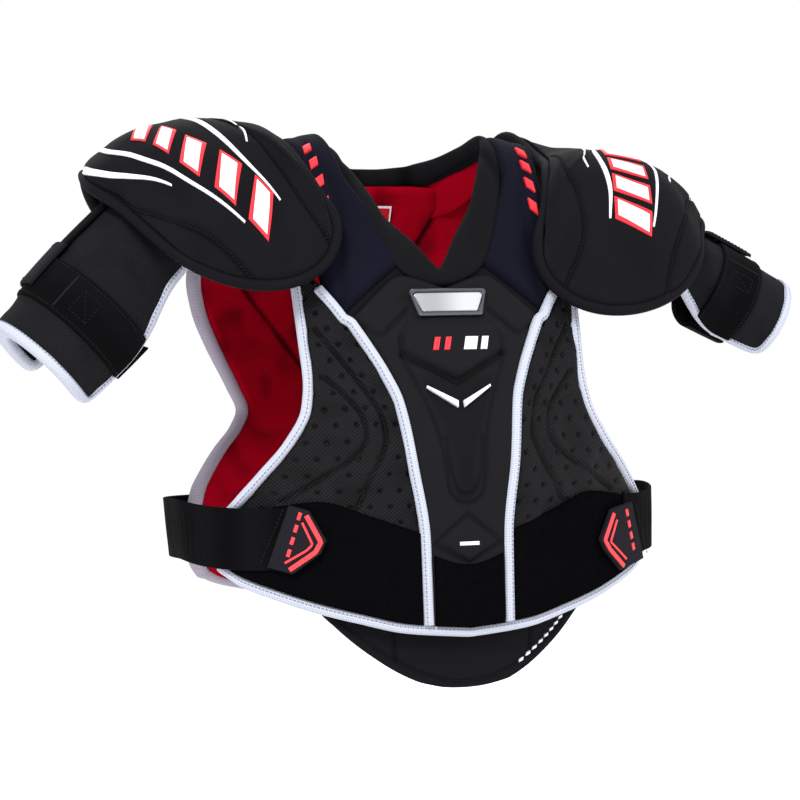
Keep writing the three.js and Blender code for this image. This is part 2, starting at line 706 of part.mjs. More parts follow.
// ---- Bicep guards.
function buildGuard(name, arm) {
  const form = armForm(arm);
  const { length, cells } = GUARD;
  const frontWrap = (a) => mix(...arm.wrap, smooth((a + 40) / 75));
  const around = (a, share) => [a, mix(GUARD.backWrap(a), frontWrap(a), share)];
  const all = (u, v) => around(mix(...length, u), v);
  const inset = 1 / cells;
  const plate = (u, v) => around(mix(-53.25, 59.25, u), mix(inset, 1 - inset, v));
  const wound = (u, v) => around(mix(8, 48, u), v);
  add(`${name}_guard_cover`, pad(form, all, 8, cells, GUARD.cover), 'woven_mesh');
  add(`${name}_guard_plate`, pad(form, plate, 6, cells - 2, GUARD.plate), 'moulded_plastic');
  add(`${name}_guard_liner`, pad(form, all, 8, cells, GUARD.lining), 'black_fabric');
  const border = [
    ...steps(8).slice(0, -1).map((t) => all(t, 0)),
    ...steps(cells).slice(0, -1).map((t) => all(1, t)),
    ...steps(8).slice(1).reverse().map((t) => all(t, 1)),
    ...steps(cells).slice(1).reverse().map((t) => all(0, t)),
  ];
  add(`${name}_guard_binding`, edging(form, border, flatSection(0.6, 5, [-12.4, 0.4]), true, 1), 'white_binding');
  add(`${name}_guard_band`, pad(form, wound, 3, cells, GUARD.band), 'elastic_webbing');
  const [strapLow, strapHigh] = GUARD.closing;
  const closing = (height) => (u, v) => {
    const sag = arm.sag * Math.sin(Math.PI * Math.min(v / 0.9, 1));
    return raised(form, [mix(10, 46, u), mix(arm.wrap[1] + 6, 269, v)], height - sag);
  };
  add(`${name}_guard_strap`, shell(2, 10, closing(strapHigh), closing(strapLow)), 'elastic_webbing');
  add(`${name}_guard_strap_tab`, pad(form, rectangle([12, 44], [266, 294]), 2, 4, GUARD.closingTab), 'black_fabric');
  add(`${name}_link_strap`, pad(form, rectangle([-84, 2], [-15, 15]), 6, 3, GUARD.link), 'elastic_webbing');
  add(`${name}_link_tab`, pad(form, rectangle([-4, 38], [-20, 18]), 3, 4, GUARD.linkTab), 'black_fabric');
}

buildChest();
buildBadge();
buildBellyPad();
buildBack();
buildYokes();
buildCollar();
for (const [name, arm] of Object.entries(ARMS)) {
  buildSideStrap(name, arm.side);
  buildCap(name, arm);
  buildGuard(name, arm);
}

export default shoulderPads;
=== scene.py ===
"""Ice hockey shoulder pads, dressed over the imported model.

Surfaces are laid out in millimetres on the same body form as the CAD, and turned into metres when a
mesh is made.
"""

import math

import bpy
import numpy as np
from mathutils import Matrix, Vector


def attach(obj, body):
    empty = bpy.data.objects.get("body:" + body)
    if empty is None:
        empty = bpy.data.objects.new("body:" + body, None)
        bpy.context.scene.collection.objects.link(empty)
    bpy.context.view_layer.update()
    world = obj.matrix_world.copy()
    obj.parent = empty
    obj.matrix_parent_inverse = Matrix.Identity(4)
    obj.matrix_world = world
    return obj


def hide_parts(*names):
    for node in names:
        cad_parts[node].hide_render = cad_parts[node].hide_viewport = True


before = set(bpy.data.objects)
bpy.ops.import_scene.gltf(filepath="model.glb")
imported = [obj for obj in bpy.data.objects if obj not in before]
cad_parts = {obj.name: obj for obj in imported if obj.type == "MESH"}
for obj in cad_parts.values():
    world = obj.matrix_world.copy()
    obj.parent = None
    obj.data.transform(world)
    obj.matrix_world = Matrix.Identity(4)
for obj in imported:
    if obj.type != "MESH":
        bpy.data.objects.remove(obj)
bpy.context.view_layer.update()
MM = 0.001
SIDES = (("left", 1), ("right", -1))


# ---- Camera, lights and floor.
def place_camera():
    """The camera stands to the wearer's right of straight ahead, slightly rolled, and looks at the vest."""
    azimuth, roll = math.radians(-19.14), math.radians(1.68)
    aim = Vector((-6.5, 2.3, -198.4)) * MM
    distance, focal_length = 2.6, 138.1
    right = Vector((math.cos(azimuth), math.sin(azimuth), 0))
    up = Vector((0, 0, 1))
    back = Vector((math.sin(azimuth), -math.cos(azimuth), 0))
    across_frame = right * math.cos(roll) - up * math.sin(roll)
    above = right * math.sin(roll) + up * math.cos(roll)
    data = bpy.data.cameras.new("camera")
    data.lens = focal_length
    camera = bpy.data.objects.new("camera", data)
    bpy.context.scene.collection.objects.link(camera)
    pose = Matrix((across_frame, above, back)).transposed().to_4x4()
    pose.translation = aim + back * distance
    camera.matrix_world = pose
    bpy.context.scene.camera = camera


def add_light(name, place, size, power):
    data = bpy.data.lights.new(name, "AREA")
    data.size = size
    data.energy = power
    lamp = bpy.data.objects.new(name, data)
    lamp.location = place
    lamp.rotation_euler = (Vector((0, 0, -0.15)) - Vector(place)).to_track_quat("-Z", "Y").to_euler()
    bpy.context.scene.collection.objects.link(lamp)


FLOOR = -0.6


def light_studio():
    world = bpy.data.worlds.new("studio")
    world.use_nodes = True
    world.node_tree.nodes["Background"].inputs["Color"].default_value = (1, 1, 1, 1)
    world.node_tree.nodes["Background"].inputs["Strength"].default_value = 1.0
    bpy.context.scene.world = world
    bpy.context.scene.view_settings.view_transform = "Standard"
    add_light("key", (-1.5, -2.0, 1.9), 0.9, 95)
    add_light("fill", (2.1, -1.3, 0.7), 0.9, 26)
    add_light("rim", (0.3, 1.6, 1.9), 1.6, 40)
    mesh = bpy.data.meshes.new("floor")
    mesh.from_pydata([(x, y, FLOOR) for x, y in ((-9, -9), (9, -9), (9, 9), (-9, 9))], [], [(0, 1, 2, 3)])
    floor = bpy.data.objects.new("floor", mesh)
    bpy.context.scene.collection.objects.link(floor)
    material = bpy.data.materials.new("pale_floor")
    material.use_nodes = True
    shader = material.node_tree.nodes["Principled BSDF"]
    shader.inputs["Base Color"].default_value = (1, 1, 1, 1)
    shader.inputs["Roughness"].default_value = 1
    shader.inputs["Specular IOR Level"].default_value = 0
    mesh.materials.append(material)


# ---- Numbers and curves.
def smooth(t):
    held = np.clip(t, 0, 1)
    return held * held * (3 - 2 * held)


def mix(a, b, t):
    return a + (b - a) * t


def through(pairs):
    """A smooth curve that doesn't overshoot, through pairs in rising order."""
    x, y = np.array(pairs, float).T
    rise = np.diff(y) / np.diff(x)
    slope = np.concatenate([rise[:1], np.zeros(len(x) - 2), rise[-1:]])
    before, after = rise[:-1], rise[1:]
    agree = before * after > 0
    slope[1:-1][agree] = 2 * before[agree] * after[agree] / (before[agree] + after[agree])

    def at(value):
        value = np.clip(value, x[0], x[-1])
        i = np.clip(np.searchsorted(x, value, side="right") - 1, 0, len(x) - 2)
        width = x[i + 1] - x[i]
        t = (value - x[i]) / width
        bend = t * (1 - t) ** 2 * slope[i] + t * t * (t - 1) * slope[i + 1]
        return mix(y[i], y[i + 1], t * t * (3 - 2 * t)) + bend * width

    return at


def spline(points, t, closed=False):
    """A centripetal spline through points, at shares t of the way along."""
    p = np.array(points, float)
    count = len(p)
    t = np.asarray(t, float)
    if closed:
        place = (t % 1) * count
        i = np.floor(place).astype(int)
        index = [(i + k) % count for k in (-1, 0, 1, 2)]
    else:
        place = np.clip(t, 0, 1) * (count - 1)
        i = np.minimum(np.floor(place).astype(int), count - 2)
        p = np.concatenate([2 * p[:1] - p[1:2], p, 2 * p[-1:] - p[-2:-1]])
        index = [i + k for k in (0, 1, 2, 3)]
    w = (place - i)[..., None]
    a, b, c, d = (p[k] for k in index)
    steps = (b - a, c - b, d - c)
    gap = [np.maximum(np.linalg.norm(step, axis=-1, keepdims=True), 1e-6) ** 0.5 for step in steps]
    leave = ((b - a) / gap[0] - (c - a) / (gap[0] + gap[1]) + (c - b) / gap[1]) * gap[1]
    arrive = ((c - b) / gap[1] - (d - b) / (gap[1] + gap[2]) + (d - c) / gap[2]) * gap[1]
    return b + leave * w + (3 * (c - b) - 2 * leave - arrive) * w**2 + (2 * (b - c) + leave + arrive) * w**3


def stack(x, y, z):
    return np.stack(np.broadcast_arrays(x, y, z), -1).astype(float)


# ---- The wearer's form, as in the CAD.
HALF_WIDTH, SPRING_LINE, LEAN = 198, -140, 0.02


def front_depth(z):
    return 82 + 42 * smooth((-60 - z) / 200)


def back_depth(z):
    return 84 + 22 * smooth((-20 - z) / 110)


FRONT = (-1, 1.9, 2, front_depth)
BACK = (1, 2.6, 3, back_depth)


def leaned(x, y, z):
    return stack(x, y, z - LEAN * x * smooth((z - SPRING_LINE + 10) / 140))


def crest_height(x):
    return 12 - 16 * (np.maximum(np.abs(x) - 60, 0) / 75) ** 1.6


def ring(x, round_):
    return (1 - np.minimum(np.abs(x) / HALF_WIDTH, 1) ** round_) ** (1 / round_)


class Torso:
    step = 0.4
    scale = (1, 1)

    def __init__(self, face):
        self.face = face

    def core(self, p):
        return stack(p[..., 0], 0, np.minimum(p[..., 2], SPRING_LINE))

    def at(self, x, z):
        side, round_, vault, depth = self.face
        climb = np.maximum((z - SPRING_LINE) / (crest_height(x) - SPRING_LINE), 0)
        over = np.maximum(1 - climb**vault, 0) ** (1 / vault)
        return leaned(x, side * depth(z) * ring(x, round_) * over, z)


class Shoulder:
    """Over the shoulder: the angle runs from 0 in front, over the crest at 90, to the back."""

    step = 0.4
    scale = (1, 1.7)

    def core(self, p):
        return stack(p[..., 0], 0, SPRING_LINE)

    def at(self, x, angle):
        turn = np.radians(angle)
        front = np.asarray(angle) < 90
        made = []
        for side, round_, vault, depth in (FRONT, BACK):
            z = mix(SPRING_LINE, crest_height(x), np.abs(np.sin(turn)) ** (2 / vault))
            out = np.abs(np.cos(turn)) ** (2 / vault)
            made.append(leaned(x, side * depth(z) * ring(x, round_) * out, z))
        return np.where(front[..., None], made[0], made[1])


class Flank:
    step = 0.4
    scale = (2.6, 1)

    def __init__(self, side):
        self.side = side

    def core(self, p):
        return stack(0, 0, p[..., 2])

    def at(self, angle, z):
        turn = np.radians(angle)
        made = []
        for side, round_, _, depth in (FRONT, BACK):
            x = HALF_WIDTH * np.abs(np.cos(turn)) ** (2 / round_)
            made.append(stack(self.side * x, side * depth(z) * np.abs(np.sin(turn)) ** (2 / round_), z))
        return np.where((np.asarray(angle) < 0)[..., None], made[0], made[1])


class Arm:
    """a is the distance along the upper arm, b the angle round it, 0 on top and positive to the front."""

    step = 0.4
    scale = (1, 0.82)

    def __init__(self, arm):
        droop = math.radians(arm["droop"])
        self.arm = arm
        self.along = np.array([arm["side"] * math.cos(droop), 0, -math.sin(droop)])
        self.up = np.array([arm["side"] * math.sin(droop), 0, math.cos(droop)])
        self.fore = np.array([0, -1, 0])
        self.middle = np.array(arm["middle"], float)

    def core(self, p):
        return self.middle + ((p - self.middle) @ self.along)[..., None] * self.along

    def at(self, a, b):
        a, b = np.broadcast_arrays(np.asarray(a, float), np.asarray(b, float))
        turn = np.radians(b)
        up, fore = (full - taper * (a / 80) ** 2 for full, taper in (self.arm["up"], self.arm["fore"]))
        return (
            self.middle
            + a[..., None] * self.along
            + (up * np.cos(turn))[..., None] * self.up
            + (fore * np.sin(turn))[..., None] * self.fore
        )


CAP_TOP, CAP_CORE, CAP_ARC = (185, 0, 30), (185, 0, -60), math.radians(64)
CAP_HINGE = (128, 0, 20)
CAP_RIM = [
    (276, -10, -24), (262, -45, -42), (245, -80, -68), (215, -103, -100), (175, -111, -118),
    (135, -111, -119), (108, -106, -106), (94, -100, -85), (97, -90, -52), (107, -68, -17),
    (119, -38, 10), (129, 0, 22),
]


class Cap:
    """The dome over a disc of radius 1, with +a outward and -b to the front."""

    step = 0.004
    scale = (92, 105)

    def __init__(self, arm):
        self.arm = arm
        behind = [(x, 20 - y, z + 34 - arm["back_ease"] * max(z + 20, 0)) for x, y, z in CAP_RIM[-2:0:-1]]
        self.loop = CAP_RIM + behind

    def posed(self, p):
        tilt = math.radians(self.arm["cap_tilt"])
        x, z = p[..., 0] - CAP_HINGE[0], p[..., 2] - CAP_HINGE[2]
        return stack(
            self.arm["side"] * (CAP_HINGE[0] + x * math.cos(tilt) - z * math.sin(tilt)),
            p[..., 1],
            CAP_HINGE[2] + self.arm["cap_rise"] + x * math.sin(tilt) + z * math.cos(tilt),
        )

    def core(self, p):
        return self.posed(np.array(CAP_CORE, float)) + 0 * p

    def at(self, a, b):
        a, b = np.broadcast_arrays(np.asarray(a, float), np.asarray(b, float))
        reach = np.hypot(a, b)
        top = np.array(CAP_TOP, float)
        spoke = spline(self.loop, (1 - np.arctan2(b, a) / (2 * np.pi)) % 1, closed=True) - top
        spread = np.sin(reach * CAP_ARC) / math.sin(CAP_ARC)
        fall = (1 - np.cos(reach * CAP_ARC)) / (1 - math.cos(CAP_ARC))
        return self.posed(top + spoke * np.stack([spread, spread, fall], -1))


ARMS = {
    "left": dict(side=1, middle=(260, -5, -102), droop=27, up=(40, 3), fore=(44, 3), wrap=(104, 150),
                 sag=8, cap_tilt=-4, cap_rise=-14, back_ease=0.0),
    "right": dict(side=-1, middle=(-261, -5, -107), droop=45, up=(53, 4), fore=(52, 4), wrap=(118, 150),
                  sag=19, cap_tilt=-1, cap_rise=10, back_ease=0.5),
}
chest, rear, over_shoulder = Torso(FRONT), Torso(BACK), Shoulder()


def raised(form, a, b, height):
    """The points at a height above a surface."""
    a, b = np.broadcast_arrays(np.asarray(a, float), np.asarray(b, float))
    point = form.at(a, b)
    along_a = form.at(a + form.step, b) - form.at(a - form.step, b)
    along_b = form.at(a, b + form.step) - form.at(a, b - form.step)
    normal = np.cross(along_a, along_b)
    normal /= np.maximum(np.linalg.norm(normal, axis=-1, keepdims=True), 1e-9)
    facing = np.sign(np.sum(normal * (point - form.core(point)), -1, keepdims=True))
    return point + normal * np.where(facing == 0, 1, facing) * np.asarray(height, float)[..., None]


# ---- Outlines, as in the CAD.
sternum_edge = through([
    (-385, 33), (-310, 34), (-250, 42), (-203, 49), (-181, 57), (-160, 67), (-130, 83),
])
sternum_top = through([(0, -109), (38, -98), (60, -113), (83, -134)])
front_edge = through([
    (-325, 178), (-300, 181), (-278, 168), (-255, 151), (-232, 133), (-205, 119),
    (-180, 116), (-150, 117), (-120, 118), (-75, 119),
])
front_hem = through([
    (0, -388), (50, -383), (85, -374), (115, -365), (145, -353), (165, -343), (178, -331),
])
front_top = through([(0, -110), (38, -100), (60, -116), (84, -139), (100, -124), (113, -108)])
band_top = through([(35, -307), (75, -291), (113, -278), (140, -281), (172, -292)])
back_edge = through([
    (-345, 158), (-330, 167), (-300, 169), (-271, 163), (-256, 154), (-236, 139), (-219, 124),
    (-203, 117), (-184, 125), (-144, 146), (-116, 158), (-93, 163), (-60, 157), (-26, 137),
])
back_hem = through([(0, -366), (60, -364), (100, -358), (130, -352), (150, -346), (160, -340)])
spine_edge = through([(-350, 30), (-250, 34), (-150, 48), (-90, 70), (-36, 60)])
belly_edge = through([(-430, 26), (-426, 41), (-403, 79), (-380, 105), (-366, 117), (-340, 122)])
yoke_inner = through([(18, 40), (36, 59), (55, 78), (90, 82), (120, 69), (134, 47)])
yoke_outer = through([(4, 84), (12, 98), (27, 102), (49, 102), (90, 110), (130, 112)])
FRONT_TOP, CHEST_TOP, BACK_TOP = -106, -138, -21.5
BINDING_MARGIN = 3.4  # panels and linings stop this far inside an outline, under its binding
PANEL_SEAM = 1.5  # half of the gap between the sternum and a chest panel
UNDER_CAP = 36  # how far a chest panel runs up under the cap, above its inner top
SEAM_STITCHES = 10.2  # stitches lie in a panel's grooves at this height
COLLAR_RIM = [
    (0, -80, -96), (22, -66, -64), (42, -50, -38), (58, -30, -5), (70, 0, 22),
    (62, 32, 15), (40, 52, 5), (0, 60, 1),
]
COLLAR_SEAM = [
    (0, -95, -103), (19, -93, -99), (36, -90, -88), (54, -75, -48), (72, -42, -10),
    (79, 2, 6), (68, 42, -2), (42, 68, -12), (0, 75, -17),
]


# ---- Edges and patches: an edge turns shares t into (..., 2) places on a form.
def pair(a, b):
    return np.stack(np.broadcast_arrays(a, b), -1).astype(float)


def down(edge, start, end):
    return lambda t: pair(edge(mix(start, end, t)), mix(start, end, t))


def across(level, start, end):
    return lambda t: pair(mix(start, end, t), level(np.abs(mix(start, end, t))))


def bent(*corners):
    points = np.array(corners, float)
    shares = np.linspace(0, 1, len(points))
    return lambda t: pair(np.interp(t, shares, points[:, 0]), np.interp(t, shares, points[:, 1]))


def between(top, bottom, left, right):
    """A patch that fills four edges: top and bottom run left to right, left and right run down."""

    def at(u, v):
        u, v = np.broadcast_arrays(u, v)
        us, vs = u[..., None], v[..., None]
        corners = [edge(np.array(end, float)) for edge in (top, bottom) for end in (0, 1)]
        flat = mix(mix(corners[0], corners[1], us), mix(corners[2], corners[3], us), vs)
        return mix(top(u), bottom(u), vs) + mix(left(v), right(v), us) - flat

    return at


def rectangle(a, b):
    return lambda u, v: pair(mix(*a, u), mix(*b, v))


def disc(radius):
    def at(u, v):
        a, b = 2 * u - 1, 2 * v - 1
        return pair(radius * a * np.sqrt(1 - b * b / 2), radius * b * np.sqrt(1 - a * a / 2))

    return at


def mirrored(side, spread):
    return lambda u, v: spread(u, v) * np.array((side, 1))


def on_side(side, line):
    """A line drawn on the wearer's left, on the side it is wanted."""
    return [(side * x, z) for x, z in line]


def inside(edge, inset):
    return lambda z: edge(z) - inset


def above(hem, rise):
    return lambda x: hem(x) + rise


# ---- Relief: functions of places on a form that give a height to add.
def distance_to(line, a, b, scale):
    """How far each place is from a line through a few points."""
    points = np.array(line, float) * scale
    place = pair(a, b) * scale
    best = np.full(place.shape[:-1], 1e9)
    for start, end in zip(points, points[1:]):
        along = end - start
        t = np.clip(((place - start) @ along) / max(along @ along, 1e-9), 0, 1)
        best = np.minimum(best, np.linalg.norm(place - start - t[..., None] * along, axis=-1))
    return best


def curved(line, count=24):
    return spline(line, np.linspace(0, 1, count))


def groove(form, line, width, depth, straight=False):
    """A soft channel along a line of places."""
    fine = line if straight else curved(line)

    def at(a, b):
        return -depth * np.exp(-((distance_to(fine, a, b, form.scale) / width) ** 2))

    return at


def dimples(pitch, radius, depth, clear_of=()):
    """Perforations in staggered rows, kept clear of seams."""

    def at(a, b):
        row = np.round(b / (pitch * 0.86))
        shift = (row % 2) * 0.5
        x = a / pitch - shift
        near = np.hypot((x - np.round(x)) * pitch, b - row * pitch * 0.86)
        dent = np.exp(-((near / radius) ** 4))
        for seam in clear_of:
            dent = dent * smooth(1 + seam(a, b))
        return -depth * dent

    return at


def rough(a, b, size, seed=0):
    """Smooth unevenness between about -1 and 1, repeatable."""
    total = 0
    for k in range(4):
        turn = 1.3 + 2.4 * k + seed
        p = (a * math.cos(turn) + b * math.sin(turn)) * (2 * math.pi / size) * (1 + 0.37 * k)
        q = (b * math.cos(turn) - a * math.sin(turn)) * (2 * math.pi / size) * (0.8 + 0.29 * k)
        total = total + np.sin(p + 3.1 * seed + np.sin(q + k)) / 2.6
    return total


# ---- Meshes.
def make(name, vertices, faces, material, uv=None, shade=None, softly=True):
    """An object from points in millimetres, with a point attribute of painted shade: 0 in the deepest groove
    and 1 on open cloth.
    """
    mesh = bpy.data.meshes.new(name)
    vertices = np.asarray(vertices, float).reshape(-1, 3) * MM
    faces = np.asarray(faces, np.int32)
    size = faces.shape[1]
    mesh.vertices.add(len(vertices))
    mesh.vertices.foreach_set("co", vertices.ravel())
    mesh.loops.add(faces.size)
    mesh.loops.foreach_set("vertex_index", faces.ravel())
    mesh.polygons.add(len(faces))
    mesh.polygons.foreach_set("loop_start", np.arange(0, faces.size, size, dtype=np.int32))
    mesh.update(calc_edges=True)
    mesh.validate()
    if uv is not None:
        layer = mesh.uv_layers.new(name="UVMap")
        layer.data.foreach_set("uv", (np.asarray(uv, float).reshape(-1, 2) * MM)[faces.ravel()].ravel())
    # Painted shade for each point, which the materials use to darken the colour.
    attribute = mesh.attributes.new("shade", "FLOAT", "POINT")
    values = np.ones(len(vertices)) if shade is None else np.asarray(shade, float).ravel()
    attribute.data.foreach_set("value", values)
    mesh.polygons.foreach_set("use_smooth", np.full(len(faces), softly))
    mesh.materials.append(material)
    obj = bpy.data.objects.new(name, mesh)
    bpy.context.scene.collection.objects.link(obj)
    return obj


def quads(rows, columns, offset=0, wrap=False):
    i, j = np.meshgrid(np.arange(rows - 1), np.arange(columns if wrap else columns - 1), indexing="ij")
    right = (j + 1) % columns
    here, below = i * columns, (i + 1) * columns
    cells = np.stack([here + j, below + j, below + right, here + right], -1)
    return cells.reshape(-1, 4) + offset


def looped(rows, columns):
    """Quads of a grid that closes on itself both ways."""
    last = (rows - 1) * columns
    j = np.arange(columns)
    right = (j + 1) % columns
    return np.concatenate([quads(rows, columns, wrap=True), np.stack([last + j, j, right, last + right], -1)])


def both_sides(rows, columns):
    """Faces of a slab: an outer grid of points, then an inner one, joined round the rim."""
    inner = quads(rows, columns, rows * columns)[:, ::-1]
    return np.concatenate([quads(rows, columns), inner, rim_walls(rows, columns)])


def slab_faces(outer, form):
    faces = both_sides(*outer.shape[:2])
    return faces if facing_out(outer, form) else faces[:, ::-1]


def slab(name, outer, inner, form, material, uv, shade=None):
    """A closed mesh between two grids of points that share uv and shade."""
    points = np.concatenate([outer.reshape(-1, 3), inner.reshape(-1, 3)])
    uv = uv.reshape(-1, 2)
    shade = None if shade is None else np.concatenate([shade.ravel(), shade.ravel()])
    return make(name, points, slab_faces(outer, form), material, np.concatenate([uv, uv]), shade)


def shares(length, step, roll):
    """Shares along an edge, close together near the ends, where the surface rolls over."""
    ends = roll * np.array((0, 0.03, 0.12, 0.27, 0.5, 0.75, 1.0))
    middle = np.linspace(roll, length - roll, max(int((length - 2 * roll) / step), 2) + 1)[1:-1]
    return np.concatenate([ends, middle, length - ends[::-1]]) / length


def grid_of(spread, size, step, roll):
    u, v = np.meshgrid(shares(size[0], step, roll), shares(size[1], step, roll), indexing="ij")
    edge = np.minimum(np.minimum(u, 1 - u) * size[0], np.minimum(v, 1 - v) * size[1])
    return u, v, spread(u, v), np.clip(edge / roll, 0, 1)


def facing_out(outer, form):
    """Whether the grid's quads already face away from the form's core."""
    i, j = outer.shape[0] // 2, outer.shape[1] // 2
    normal = np.cross(outer[i + 1, j] - outer[i, j], outer[i, j + 1] - outer[i, j])
    return np.dot(normal, outer[i, j] - form.core(outer[i, j][None])[0]) > 0


def shade_of(detail):
    """Painted shade for grooves: 1 on open cloth, and less the deeper a groove is."""
    return np.clip(1 + np.minimum(detail, 0) / 2.2, 0, 1)


def cloth(name, form, spread, size, layer, material, step=1.7, roll=4.0, relief=(), puff=None):
    """A closed pad or band on a form: a patch between two heights, with rolled edges and relief outside."""
    u, v, place, edge = grid_of(spread, size, step, roll)
    a, b = place[..., 0], place[..., 1]
    low, high = layer
    lift = 0.04 + 0.96 * np.sqrt(1 - (1 - edge) ** 2)
    detail = sum((part(a, b) for part in relief), np.zeros_like(a))
    outer = raised(form, a, b, low + (high - low) * lift + detail * lift)
    inner = raised(form, a, b, low + 0 * a)
    if puff is not None:
        outer = outer + puff(u, v) * lift[..., None]
    # Painted shade: darker in the grooves and towards the rolled edges, down to 0.55 at the rim.
    shade = shade_of(detail) * mix(0.55, 1, edge)
    return slab(name, outer, inner, form, material, place * form.scale, shade)


def rim_walls(rows, columns):
    count = rows * columns
    loop = [i * columns for i in range(rows)]
    loop += [(rows - 1) * columns + j for j in range(1, columns)]
    loop += [i * columns + columns - 1 for i in range(rows - 2, -1, -1)]
    loop += [j for j in range(columns - 2, 0, -1)]
    loop = np.array(loop)
    after = np.roll(loop, -1)
    return np.stack([loop, loop + count, after + count, after], -1)


# ---- Sweeps along a line on a form.
def eased(values, passes):
    """A closed run of points or directions with its corners rounded."""
    for _ in range(passes):
        values = (np.roll(values, 1, 0) + 2 * values + np.roll(values, -1, 0)) / 4
    return values


def unit(v):
    return v / np.maximum(np.linalg.norm(v, axis=-1, keepdims=True), 1e-9)


def line_frame(form, line, height, closed, ease=0):
    """Points, outward directions across the line, normals and directions ahead, along a line of places."""
    before = np.roll(line, 1, 0) if closed else np.concatenate([line[:1], line[:-1]])
    after = np.roll(line, -1, 0) if closed else np.concatenate([line[1:], line[-1:]])
    point = raised(form, line[:, 0], line[:, 1], height)
    ahead = unit(raised(form, *after.T, height) - raised(form, *before.T, height))
    normal = unit(raised(form, line[:, 0], line[:, 1], height + 1.0) - point)
    if ease:
        point, normal = eased(point, ease), unit(eased(normal, ease))
        ahead = unit(np.roll(point, -1, 0) - np.roll(point, 1, 0))
    away = unit(np.cross(ahead, normal))
    away *= np.sign(np.sum(away * (point - point.mean(0)), -1).mean())
    return point, away, normal, ahead


def tube(name, centres, away, normal, section, closed, material):
    """A bar: section is a ring of (out, up) offsets, the same or one for each centre."""
    section = np.asarray(section, float)
    if section.ndim == 2:
        section = np.broadcast_to(section, (len(centres),) + section.shape)
    rings = centres[:, None] + section[..., :1] * away[:, None] + section[..., 1:] * normal[:, None]
    count, sides = rings.shape[:2]
    length = np.cumsum(np.linalg.norm(np.diff(centres, axis=0, prepend=centres[:1]), axis=-1))
    around = np.cumsum(np.linalg.norm(np.diff(section[0], axis=0, prepend=section[0][:1]), axis=-1))
    uv = np.stack(np.broadcast_arrays(length[:, None], around[None]), -1).reshape(-1, 2)
    vertices = rings.reshape(-1, 3)
    if closed:
        faces = looped(count, sides)
    else:
        sleeve = quads(count, sides, wrap=True)
        faces = np.concatenate([sleeve[:, [0, 1, 2]], sleeve[:, [0, 2, 3]]])
        j = np.arange(sides)
        for end, turn in ((0, 1), (count - 1, -1)):
            hub = np.full(sides, len(vertices))
            fan = np.stack([end * sides + j, end * sides + (j + 1) % sides, hub], -1)
            faces = np.concatenate([faces, fan[:, ::turn]])
            vertices = np.concatenate([vertices, rings[end].mean(0)[None]])
            uv = np.concatenate([uv, uv[end * sides][None]])
    outward = np.cross(rings[0, 1] - rings[0, 0], centres[min(3, count - 1)] - centres[0])
    inside_out = np.dot(outward, rings[0, 0] - rings[0].mean(0)) < 0
    return make(name, vertices, faces[:, ::-1] if inside_out else faces, material, uv)


def oval(half_width, half_height, middle=(0, 0), power=2.6, sides=18):
    turn = np.linspace(0, 2 * math.pi, sides, endpoint=False)
    c, s = np.cos(turn), np.sin(turn)
    return np.stack([
        middle[0] + half_width * np.sign(c) * np.abs(c) ** (2 / power),
        middle[1] + half_height * np.sign(s) * np.abs(s) ** (2 / power),
    ], -1)


def resampled(form, line, height, pitch, closed=False):
    """Places along a line, evenly spaced on the surface."""
    line = np.asarray(line, float)
    if closed:
        line = np.concatenate([line, line[:1]])
    points = raised(form, line[:, 0], line[:, 1], height + np.zeros(len(line)))
    run = np.concatenate([[0], np.cumsum(np.linalg.norm(np.diff(points, axis=0), axis=-1))])
    count = max(int(run[-1] / pitch), 3)
    targets = np.linspace(0, run[-1], count + 1)
    if closed:
        targets = targets[:-1]
    return np.stack([np.interp(targets, run, line[:, k]) for k in (0, 1)], -1)


def piped(name, form, line, section, material, closed=False, height=0.0, pitch=2.5, ease=0):
    line = resampled(form, line, height, pitch, closed)
    point, away, normal, _ = line_frame(form, line, height, closed, ease)
    return tube(name, point, away, normal, section, closed, material)


STITCH_PITCH, STITCH_LENGTH, STITCH_RADIUS = 3.4, 2.2, 0.42


def stitches(name, form, line, height, material, closed=False, out=0.0, ease=0):
    """Thread showing as a row of small beads that lie on the surface along a line."""
    line = resampled(form, line, height, STITCH_PITCH, closed)
    point, away, normal, ahead = line_frame(form, line, height, closed, ease)
    point = point + away * out
    turn = np.linspace(0, 2 * math.pi, 6, endpoint=False)
    rings = []
    for share, girth in ((-0.5, 0.35), (-0.3, 0.9), (0.3, 0.9), (0.5, 0.35)):
        centre = point + ahead * STITCH_LENGTH * share
        ring_ = centre[:, None] + STITCH_RADIUS * girth * (
            np.cos(turn)[None, :, None] * away[:, None] + np.sin(turn)[None, :, None] * normal[:, None]
        )
        rings.append(ring_)
    beads = np.stack(rings, 1)
    count = len(point)
    one = quads(4, 6, wrap=True)
    ends = np.array([[0, 1, 2, 3], [0, 3, 4, 5], [21, 20, 19, 18], [23, 22, 21, 18]])
    one = np.concatenate([one, ends])
    faces = (one[None] + 24 * np.arange(count)[:, None, None]).reshape(-1, 4)
    return make(name, beads.reshape(-1, 3), faces, material)


def bar_mark(name, form, corners, layer, material, step=2.0):
    """A flat appliqué with four corners, listed round it, that follows the surface."""
    p = np.array(corners, float)
    patch = between(bent(p[0], p[1]), bent(p[3], p[2]), bent(p[0], p[3]), bent(p[1], p[2]))
    q = raised(form, p[:, 0], p[:, 1], layer[1] + np.zeros(4))
    long = (np.linalg.norm(q[1] - q[0]) + np.linalg.norm(q[2] - q[3])) / 2
    wide = (np.linalg.norm(q[3] - q[0]) + np.linalg.norm(q[2] - q[1])) / 2
    return cloth(name, form, patch, (long, wide), layer, material, step=step, roll=0.5)


